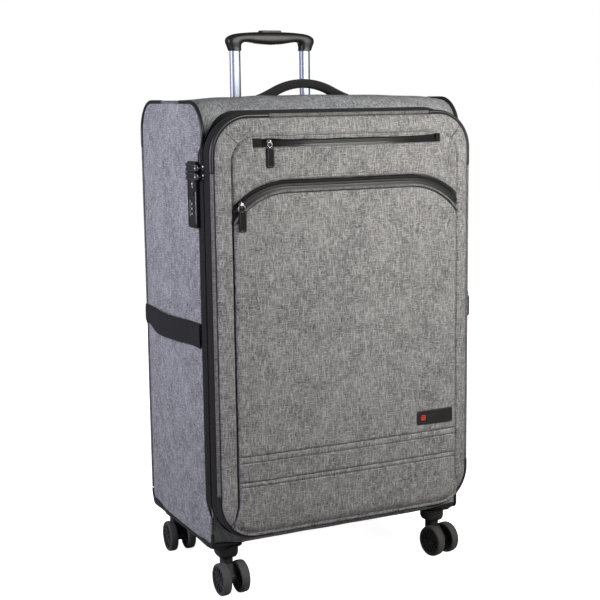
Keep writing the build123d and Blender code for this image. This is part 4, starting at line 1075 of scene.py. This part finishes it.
# ---- Lining ------------------------------------------------------------------
def lining_wall(shape, corner, ax, ay, width, height, facing, seed):
    """One padded wall of the lining from its corner along ax and ay."""
    a, b = np.meshgrid(np.linspace(0, width, 70), np.linspace(0, height, 110), indexing="ij")
    margin = np.minimum(np.minimum(a, width - a), np.minimum(b, height - b))
    lift = 2.0 * smooth(margin, 0, 25) + 0.9 * ripple(a, b, 70, seed) * smooth(margin, 2, 30)
    facing = np.asarray(facing, float)
    points = np.asarray(corner, float) + a[..., None] * np.asarray(ax) + b[..., None] * np.asarray(ay)
    points = points + lift[..., None] * facing
    shape.sheet(points, np.stack([a, b], -1), 0.8, facing=facing)


lin_low, lin_high = box_mm("case_lining")
size = lin_high - lin_low
inside = Shape()
(lx, ly, lz), (hx, hy, hz) = lin_low, lin_high
ACROSS, DEEP, HIGH = (1, 0, 0), (0, 1, 0), (0, 0, 1)
for wall in (
    ((lx, hy - 1, lz), ACROSS, HIGH, size[0], size[2], (0, -1, 0), 41),
    ((lx + 0.6, ly, lz), DEEP, HIGH, size[1], size[2] - 46, (1, 0, 0), 42),
    ((hx - 0.6, ly, lz), DEEP, HIGH, size[1], size[2] - 46, (-1, 0, 0), 43),
    ((lx, ly, lz + 0.6), ACROSS, DEEP, size[0], size[1], (0, 0, 1), 44),
    ((lx, ly + 42, hz - 1), ACROSS, DEEP, size[0], size[1] - 42, (0, 0, -1), 45),
):
    lining_wall(inside, *wall)
inside.sweep(mouth_path(5.4, 0.0, 4.0), [(0.0, 104.0), (0.0, 132.0), (-0.8, 132.0), (-0.8, 104.0)])
inside.piece("lining", lining_cloth, "case", ("case_lining",), "lining")
lid_low, lid_high = box_mm("front_panel_lining")
gx, gz = cover_grid(lid_low[2] + 1, lid_high[2] - 1, 150, 110, lambda z: panel_half_width(z, 9.0))
margin = edge_distance(gx, gz, 9.0)
lift = 2.4 * smooth(margin, 0, 30) + 0.9 * ripple(gx, gz, 80, 47) * smooth(margin, 2, 30)
lid_inside = Shape()
lid_inside.sheet(np.stack([gx, lid_high[1] + lift - 0.4, gz], -1), np.stack([gx, gz], -1), 0.8, facing=(0, 1, 0))
lid_inside.piece("lid_lining", lining_cloth, "front_panel", ("front_panel_lining",), "lining")

# ---- Carry handle on top -------------------------------------------------------
hand_low, hand_high = box_mm("top_handle")
HANDLE_Y = (hand_low[1] + hand_high[1]) / 2
ARCH_R, ARCH_APEX, BEND_X, FOOT_X = 112.0, 817.5, 50.0, 78.0
reach = math.asin(BEND_X / ARCH_R)
arch = [(ARCH_R * math.sin(a), ARCH_APEX - ARCH_R + ARCH_R * math.cos(a)) for a in np.linspace(-reach, reach, 90)]
foot = [(-FOOT_X, arch[0][1] - math.tan(reach) * (FOOT_X - BEND_X))]
arch = resample(foot + arch + [(-x, z) for x, z in foot], 2.0, False)
path = raise_to(arch, HANDLE_Y)
outward = upward(path)
ends_near = np.minimum(lengths(path), lengths(path)[-1] - lengths(path))
half_thick = 7.4 + 1.6 * np.exp(-ends_near / 9)
half_deep = 12.4 + 2.6 * np.exp(-ends_near / 9)
turn = full_turn(28)
ca, sa = soft_square(turn, 0.75)
points = path[:, None] + (half_thick[:, None] * sa)[..., None] * outward[:, None]
points = points + (half_deep[:, None] * ca)[..., None] * FRONT
handle = Shape()
handle.bar(points, woven_over(lengths(path), turn * 9))
bends = ("case", "top_handle", (0, 0.028, 0.790), (0, 0.028, 0.808))
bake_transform(handle.piece("carry_handle", webbing, None, ("top_handle",), "fabric_black"))
handle_thread = Shape()
for side in (-1, 1):
    line = path + outward * (half_thick[:, None] * 0.62) + FRONT * side * (half_deep[:, None] * 0.93)
    handle_thread.stitches(line[4:-4], outward[4:-4] * 0.7 + FRONT * side * 0.7, False, 4.2, 2.8, 0.7, 0.5)
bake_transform(handle_thread.piece("handle_stitches", thread_dark_and_painted_shade, None, slot="fabric_black"))
feet = Shape()
for side in (-1, 1):
    place = (side * (FOOT_X + 2), HANDLE_Y, CASE_TOP + 4.6)
    feet.plate(plane_at(place, (1, 0, -0.09 * side), (0.09 * side, 0, 1)), 32, 36, 5,
                   [(-5, 0), (1.6, 0), (2.6, 0.6), (3.2, 2.0)], 60)
feet.piece("handle_feet", webbing, "case", ("handle_anchors",), "fabric_black", angle=50)

# ---- Strap on the left side: sewn ends and a bowed middle -----------------------
strap_low, strap_high = box_mm("side_strap")
STRAP_Z, STRAP_W, BOW = (strap_low[2] + strap_high[2]) / 2, strap_high[2] - strap_low[2], 15.0
face_x = -HALF - 4.2
SEWN_FRONT, SEWN_REAR = -90, 118
for half_name, y0, y1, *bends in (
    ("front", -121.0, 15.0, "case", "side_strap", (-0.232, -0.065, 0.43), (-0.232, -0.005, 0.43)),
    ("rear", 15.0, 134.0, "side_strap", "case", (-0.232, 0.085, 0.43), (-0.232, 0.143, 0.43)),
):
    y = np.linspace(y0, y1, 90)
    free = np.clip((y - SEWN_FRONT) / (SEWN_REAR - SEWN_FRONT), 0, 1)
    w = np.linspace(-1, 1, 23)
    x = face_x - BOW * np.sin(free * math.pi) ** 1.25
    x = x[:, None] - 0.5 * (1 - w[None, :] ** 2) + 0 * y[:, None]
    x = x + 0.8 * np.abs(w[None, :]) ** 10
    z = STRAP_Z + w[None, :] * STRAP_W / 2 * (1 - 0.16 * smooth(y, 30, 130))[:, None]
    pts = np.stack([x, y[:, None] + 0 * w[None, :], z], -1)
    strap = Shape()
    strap.sheet(pts, np.stack([pts[..., 1], pts[..., 2]], -1), 2.6, facing=(-1, 0, 0))
    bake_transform(strap.piece("strap_" + half_name, webbing, None, ("side_strap",), "fabric_black"))
strap_thread = Shape()
for y_a, y_b in ((-117.0, -94.0), (120.0, 131.0)):
    x_face = face_x - 0.6
    tall = STRAP_W / 2 - 4
    corner = [(y_a, STRAP_Z - tall), (y_b, STRAP_Z - tall), (y_b, STRAP_Z + tall), (y_a, STRAP_Z + tall)]
    loop = resample(corner + corner[:1], 2.0, False)
    strap_thread.stitches(np.column_stack([np.full(len(loop), x_face), loop]), LEFT, False, 3.4, 2.4, 0.8, 0.5)
strap_thread.piece("strap_stitches", thread_dark_and_painted_shade, "case", slot="fabric_black")

# ---- Lock -----------------------------------------------------------------------
lock_low, lock_high = box_mm("lock_body")
LOCK_Y, LOCK_W, LOCK_LOW, LOCK_HIGH = -111.0, 38.0, lock_low[2], lock_high[2]
LOCK_FACE = lock_low[0]
frame_plate = Shape()
lock_plane = left_plane((LOCK_FACE, LOCK_Y, (LOCK_LOW + LOCK_HIGH) / 2))
outer, inner = (ring_of(rectangle(LOCK_W, LOCK_HIGH - LOCK_LOW, 5, 1.5, inset), 180) for inset in (2.2, 3.6))
frame_plate.hoop(lock_plane, ((outer, -0.3), (outer * 0.995, 0.45), (inner, 0.45), (inner, -0.3)))
frame_plate.piece("lock_rim", satin_plastic, "case", slot="plastic_black", angle=35)
ridge = Shape()
ridge.plate(left_plane((LOCK_FACE - 0.1, -127.2, 629), UP), 52, 1.3, 0.6,
               [(-0.2, 0), (0.5, 0), (0.8, 0.3)], 40)
ridge.plate(left_plane((LOCK_FACE - 0.1, -101.5, 627), UP), 27, 1.8, 0.6,
               [(-0.2, 0), (0.3, 0), (0.5, 0.3)], 40)
ridge.piece("lock_ridges", steel, "case", slot="slider_metal")
dot = Shape()
turn = full_turn(24)
disc = np.column_stack([np.cos(turn), np.sin(turn)])
dot.slab(left_plane((LOCK_FACE, -113, 671.6)),
         [(-0.3, disc * 2.6), (0.5, disc * 2.6), (0.8, disc * 2.0)])
dot.piece("lock_red_dot", red_paint, "case", slot="badge")
key = Shape()
key.plate(left_plane((LOCK_FACE, -112, 661.5), UP), 5.2, 0.9, 0.3, [(-0.2, 0), (0.3, 0)], 24)
key.plate(left_plane((LOCK_FACE, -113.2, 659.6)), 2.6, 0.8, 0.3, [(-0.2, 0), (0.3, 0)], 24)
key.slab(left_plane((LOCK_FACE, -112, 665.4)), [(-0.2, disc * 1.9), (0.3, disc * 1.9)])
key.piece("lock_key_symbol", white_paint, "case", slot="badge")
DIAL_FACE, DIAL_HEIGHTS = -HALF - 2.2 - 5.35, (634.5, 626.9, 619.3)
for number, z in enumerate(DIAL_HEIGHTS, start=1):
    figure = Shape()
    spin = full_turn(20)
    outer = np.column_stack([np.cos(spin) * 1.15, np.sin(spin) * 1.75])
    inner = outer * 0.52
    figure.hoop(left_plane((DIAL_FACE, -112, z)),
               ((outer, -0.25), (outer, 0.16), (inner, 0.16), (inner, -0.25)))
    figure.piece(f"dial_figure_{number}", white_paint, f"lock_dial_{number}", slot="dial_white")


# ---- Sliders and pullers ---------------------------------------------------------
PULLER_GAP, TAB_WIDE, TAB_R = 7.0, 12.4, 3.0


def slider_set(name, origin, hinge_axis, outward, bridge, ring_r, reach, dots):
    """Chrome slider with a ring and a black framed puller that starts PULLER_GAP below its pin."""
    o, ax, ay, az = plane_at(origin, hinge_axis, outward)
    body = Shape()
    body.plate((o, ax, ay, az), 8.4, 9.0, 2.2, [(0.1, 0.4), (0.9, 0), (1.8, 0), (2.4, 0.8)], 40)
    body.piece(name + "_slider_body", chrome, name + "_slider", (name + "_slider",), "slider_metal", angle=45)
    loop = Shape()
    spin = np.linspace(-0.15 * math.pi, 1.15 * math.pi, 36)
    centre = o + az * max(1.6, bridge - 2.6)
    rise = bridge - 1.0 if bridge > 6 else 3.6
    arc = centre + np.cos(spin)[:, None] * ay * ring_r * 0.62 + np.sin(spin)[:, None] * az * rise
    loop.tube(arc, 0.9, ax, False, 8, 1.5)
    loop.piece(name + "_slider_bridge", chrome, name + "_slider", slot="slider_metal")
    pin = o + az * bridge
    ring = Shape()
    spin = full_turn(40)
    circle = pin - ay * (ring_r * 0.55 - 1.0) + np.cos(spin)[:, None] * ay * ring_r * 0.62
    circle = circle + np.sin(spin)[:, None] * ax * ring_r * 0.5
    ring.tube(circle, 0.95, az, True, 8)
    ring.piece(name + "_puller_ring", chrome, name + "_puller", slot="slider_metal")
    tab = Shape()
    length = reach - PULLER_GAP
    # a pocket's tab hangs clear of the padded cloth
    pocket = name.endswith("pocket")
    tab_centre = pin - ay * (PULLER_GAP + length / 2) + az * (2.4 if pocket else 0.0)
    tab.plate((tab_centre, ax, ay, az), TAB_WIDE, length, TAB_R,
                   [(-1.3, 0.5), (-0.9, 0), (0.8, 0), (1.3, 0.6), (1.3, 1.9), (0.7, 2.4)], 72)
    tab_plastic = black_fabric if pocket else satin_plastic
    tab.piece(name + "_puller_tab", tab_plastic, name + "_puller", (name + "_puller",), "plastic_black", angle=40)
    trim = Shape()
    outline = rectangle(TAB_WIDE, length, TAB_R, 1.0, 1.9)
    trim.tube(on_plane((tab_centre, ax, ay, az), outline, 1.25), 0.32, az, True, 6)
    if dots:
        trim.slab((tab_centre - ay * (length / 2 - 4.2), ax, ay, az),
                  [(0.6, disc * 1.7), (1.5, disc * 1.7), (1.7, disc * 1.2)])
    trim.piece(name + "_puller_trim", gunmetal if pocket else steel, name + "_puller", slot="slider_metal")


bridges = joint_places("puller_swing")
for name, hinge_axis, outward, ring_r, reach, dots in (
    ("main_upper", (0, 0, -1), (-1, 0, 0), 8.0, 50, True),
    ("main_lower", (0, 0, -1), (-1, 0, 0), 8.0, 50, True),
    ("expander", (0, 1, 0), (1, 0, 0), 7.0, 42, False),
    ("top_pocket", (1, 0, 0), (0, -1, 0), 7.0, 38, False),
    ("front_pocket", (1, 0, 0), (0, -1, 0), 11.0, 40, False),
):
    pivot = bridges[name + "_puller_swing"]
    bridge = 9.0 if name.startswith("main") else 4.2
    origin = pivot - np.array(outward) * bridge
    slider_set(name, origin, hinge_axis, outward, bridge, ring_r, reach, dots)

# ---- Trolley grip ------------------------------------------------------------------
GRIP_Y = 106.0


def flowing(knots):
    """A smooth curve through the knots."""
    count = 14
    k = np.asarray(knots, float)
    k = np.concatenate([[2 * k[0] - k[1]], k, [2 * k[-1] - k[-2]]])
    t = np.linspace(0, 1, count, endpoint=False)[:, None]
    spans = [0.5 * (2 * b + (c - a) * t + (2 * a - 5 * b + 4 * c - d) * t**2 + (3 * b - a - 3 * c + d) * t**3)
             for a, b, c, d in zip(k[:-3], k[1:-2], k[2:-1], k[3:])]
    return np.concatenate(spans + [k[-2:-1]])


def mirrored(half):
    """A half outline and its mirror image."""
    return np.concatenate([half, half[:-1][::-1] * (-1, 1)])


outer = mirrored(flowing([(-77.5, 875), (-81, 883.5), (-83.5, 891), (-81, 898),
                          (-70, 903.3), (-52, 905.8), (-28, 907.2), (0, 907.7)]))
under = mirrored(flowing([(-56.5, 875), (-56.6, 880.5), (-56.2, 885), (-54, 888),
                          (-49, 889.5), (-40, 889), (-22, 886.4), (0, 885)]))
centre = raise_to((outer + under) / 2, GRIP_Y)
half = np.column_stack([(outer - under)[:, 0], np.zeros(len(outer)), (outer - under)[:, 1]]) / 2
half_deep = 11.0 + 1.4 * smooth(centre[:, 2], 878, 892)
ca, sa = soft_square(full_turn(36), 0.7)
points = centre[:, None] + sa[None, :, None] * half[:, None] + (half_deep[:, None] * ca)[..., None] * FRONT
grip = Shape()
grip.bar(points)
grip.piece("grip", grip_plastic, "trolley_handle", ("trolley_grip",), "plastic_black", angle=60)


# Rim of the recess in the top that the grip sinks into.
def top_surface(y):
    """Height of the case's top at y, over its rear corner as well."""
    return CASE_TOP - TOP_R + quarter(TOP_R, np.maximum(y - (CASE_BACK - TOP_R), 0))


RIM_Y = 108.0
rim = Shape()
outer, inner = ring_of(rectangle(202, 40, 7, 1.0), 240), ring_of(rectangle(186, 30, 4, 1.0), 240)
rings = []
for share, lift in ((0.0, -1.0), (0.0, 0.8), (0.12, 1.8), (0.75, 2.0), (1.0, 1.3), (1.0, -3.0)):
    p = outer * (1 - share) + inner * share
    y = p[:, 1] + RIM_Y
    rings.append(np.column_stack([p[:, 0], y, top_surface(y) + lift]))
rim.grid(np.stack(rings, 1), True, True)
rim.piece("bezel_rim", grain_plastic, "case", slot="plastic_black", angle=50)


# ---- Wheels ---------------------------------------------------------------------------
WHEEL_W, SPACING = 14.5, 32.4
for joint in frame["joints"]:
    if not joint["name"].startswith("wheel_spin_"):
        continue
    corner = joint["name"][len("wheel_spin_"):]
    centre = np.array(joint["pos_m"]) * 1000 - BODY_MIDDLE
    axle = np.array(joint["axis"], float)
    side = np.cross(axle, UP)
    tyres, hubs = Shape(), Shape()
    turn = full_turn(72)
    spoke = np.cos(turn)[:, None] * side + np.sin(turn)[:, None] * UP
    for sign in (-1, 1):
        middle = centre + axle * sign * SPACING / 2
        half = WHEEL_W / 2
        profile = [(21.6, -half + 0.6), (22.2, -half + 0.1), (24.2, -half), (25.6, -half + 0.9), (26.3, -half + 2.6),
                   (26.5, -half + 4.5), (26.5, half - 4.5), (26.3, half - 2.6), (25.6, half - 0.9), (24.2, half),
                   (22.2, half - 0.1), (21.6, half - 0.6), (21.2, 0)]
        rings = np.stack([middle + spoke * r + axle * w for r, w in profile], 1)
        tyres.grid(rings, True, True)
        for face in (-1, 1):
            out = axle * face
            deep = middle + out * (half - 3.4)
            dish = [(2.0, -3.0), (2.0, 0.6), (19.6, 0.6), (19.9, 2.4), (21.7, 2.6), (21.7, -3.0)]
            cap = [(0.01, -2.0), (0.01, 3.0), (3.4, 2.9), (4.4, 2.2), (4.6, 1.4), (8.2, 1.2), (8.4, -2.0)]
            for turned in (dish, cap):
                hubs.grid(np.stack([deep + spoke * r + out * w for r, w in turned], 1), True, True)
            for a in full_turn(12):
                radial = math.cos(a) * side + math.sin(a) * UP
                hubs.plate(plane_at(deep + radial * 13.8, radial, out), 13.6, 2.6, 0.9,
                               [(-0.5, 0), (1.9, 0), (2.4, 0.5)], 20)
    tyres.piece("tyres_" + corner, tread, "wheels_" + corner, ("wheelset_" + corner,), "wheel")
    hubs.piece("hubs_" + corner, hub_plastic, "wheels_" + corner, slot="wheel", angle=40)

# ---- Corner guards: a low lip round each bottom corner, a plate and the caster's socket ----
pivots = joint_places("caster_swivel")
SOCKET_LOW, PLATE_LOW = 58.0, 77.0


def guard_lip(shape, sx, edge_y, sy, end_r):
    """The lip follows the side wall, the corner and the end wall; end_r rounds the case's end under it."""
    flat = rounded([(HALF, 76), (HALF, 0), (HALF - 58, 0)], [0, 16, 0], False, 2.0)
    run = lengths(flat)
    along = tangents(flat, False)
    normal = np.column_stack([-along[:, 1], along[:, 0]])
    near = np.minimum(run, run[-1] - run)
    swell = smooth(near, -4, 46)
    rings = []
    for base, out, size in zip(flat, normal, swell):
        r = 5.0 + (end_r - 5.0) * abs(out[1])
        wall = 0.8 + 3.6 * size
        lip = (10.0 if sy > 0 else 7.0) * size
        outer_r, inner_r = r + wall, r + 0.4
        top = math.asin(max(-1.0, min(1.0, (lip - r) / outer_r)))
        angles = np.linspace(-math.pi / 2, top, 14)
        section = [(-r + outer_r * math.cos(a), CASE_LOW + r + outer_r * math.sin(a)) for a in angles]
        section.append((section[-1][0] - 0.5 * wall, section[-1][1] + 0.9))
        section += [(-r + inner_r * math.cos(a), CASE_LOW + r + inner_r * math.sin(a)) for a in angles[::-1]]
        section = np.array([(-r - 14, section[0][1] + 0.2)] + section + [(-r - 14, section[-1][1] - 0.2)])
        rings.append(np.column_stack([
            sx * (base[0] + out[0] * section[:, 0]),
            edge_y - sy * (base[1] + out[1] * section[:, 0]),
            section[:, 1],
        ]))
    shape.bar(np.array(rings))


for name, sy, edge_y, end_r in (("front", -1, CASE_FRONT, FRONT_R), ("rear", 1, CASE_BACK, REAR_R)):
    guard = Shape()
    for sx in (-1, 1):
        guard_lip(guard, sx, edge_y, sy, end_r)
        place = (sx * (HALF - 31), edge_y - sy * 40, PLATE_LOW)
        guard.plate(top_plane(place), 54, 72, 12, [(0, 1.2), (0.9, 0), (2.6, 0)], 80)
        pivot = pivots["caster_swivel_" + name + ("_left" if sx < 0 else "_right")]
        place = (pivot[0], pivot[1], SOCKET_LOW)
        guard.plate(top_plane(place), 35, 35, 10,
                       [(0, 4.5), (1.2, 2.6), (4.5, 0.8), (8, 0), (16, 0), (19.5, -1.5), (21, -4)], 72)
    guard.piece("guards_" + name, grain_plastic, "case", ("corner_guards_" + name,), "plastic_black", angle=50)

# ---- CAD nodes that keep their shape get their materials here ----------------------------
keeps = {
    board_plastic: ("frame_board",),
    steel: ("guard_screws", "caster_kingpins", "trolley_outer_tubes", "push_rods", "tube_lock_pins"),
    grain_plastic: ("trolley_base_bracket", "trolley_top_bezel", "caster_fork_front_left", "caster_fork_front_right",
                    "caster_fork_rear_left", "caster_fork_rear_right"),
    satin_plastic: ("lock_body", "lock_dial_1", "lock_dial_2", "lock_dial_3", "lock_release_button"),
    aluminium: ("trolley_inner_tubes",),
    grip_plastic: ("trolley_release_button",),
}
for node, material in ((node, material) for material, nodes in keeps.items() for node in nodes):
    shown = frame["nodes"][node]
    shown.data.materials.clear()
    shown.data.materials.append(material)
    if node.startswith(("caster_fork", "lock_body", "trolley_base")):
        bevel = shown.modifiers.new("soft_edges", "BEVEL")
        bevel.width = 0.0005
        bevel.segments = 2
        bevel.limit_method = "ANGLE"
        bevel.angle_limit = math.radians(40)

# ---- Stage: floor, light and camera ---------------------------------------------------------
floor_mesh = bpy.data.meshes.new("floor")
floor_mesh.from_pydata([(-6, -6, 0), (6, -6, 0), (6, 6, 0), (-6, 6, 0)], [], [(0, 1, 2, 3)])
floor = link("floor", floor_mesh)
p = Paint("pale_floor")
shade = p.spread(p.noise(p.place(), 3, 3, 0.5), 0.3, 0.7)
seen = p.node("LightPath").outputs["Is Camera Ray"]
p.shader.inputs["Emission Color"].default_value = (1, 1, 1, 1)
p.put(p.shader.inputs["Emission Strength"], p.times(seen, 0.93))
floor_mesh.materials.append(p.finish(p.mix(seen, grey(0.35), p.mix(shade, grey(0.84), grey(0.88))), 0.7, specular=0.0))
floor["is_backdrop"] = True

world = bpy.data.worlds.new("studio")
bpy.context.scene.world = world
world.use_nodes = True
background = world.node_tree.nodes["Background"]
background.inputs[0].default_value = (1.0, 1.0, 1.0, 1)
seen = world.node_tree.nodes.new("ShaderNodeLightPath").outputs["Is Camera Ray"]
level = world.node_tree.nodes.new("ShaderNodeMapRange")
world.node_tree.links.new(seen, level.inputs[0])
level.inputs[3].default_value, level.inputs[4].default_value = 0.16, 1.0
world.node_tree.links.new(level.outputs[0], background.inputs[1])


def area_light(name, place, target, size, power, colour):
    light = bpy.data.lights.new(name, "AREA")
    light.shape = "DISK"
    light.size = size
    light.energy = power
    light.color = colour
    holder = link(name, light)
    holder.location = place
    holder.rotation_euler = (Vector(target) - Vector(place)).to_track_quat("-Z", "Y").to_euler()


area_light("key", (0.4, -1.05, 0.98), (0, 0, 0.8), 0.6, 20.6, (1.0, 0.985, 0.965))
area_light("fill_left", (-1.4, 0.0, 0.88), (0, 0, 0.8), 0.7, 23, (0.86, 0.83, 1.0))
area_light("back", (0.8, 2.3, 0.35), (0, 0, 0.35), 1.0, 16, (1, 1, 1))

camera_data = bpy.data.cameras.new("camera")
camera_data.lens = 77.7
camera_data.sensor_width = 36.0
# the picture is shifted by these parts of its width
camera_data.shift_x, camera_data.shift_y = -1.3 / 600, 0.6 / 600
camera = link("camera", camera_data)
azimuth, elevation, roll = math.radians(25.8), math.radians(-9.2), math.radians(-0.74)
level = math.cos(elevation)
forward = Vector((math.sin(azimuth) * level, math.cos(azimuth) * level, math.sin(elevation)))
turned = forward.to_track_quat("-Z", "Y").to_matrix() @ Matrix.Rotation(roll, 3, "Z")
camera.matrix_world = Matrix.Translation((-0.9608, -1.9692, 0.8054)) @ turned.to_4x4()
bpy.context.scene.camera = camera
bpy.context.scene.view_settings.view_transform = "Standard"

low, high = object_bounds()
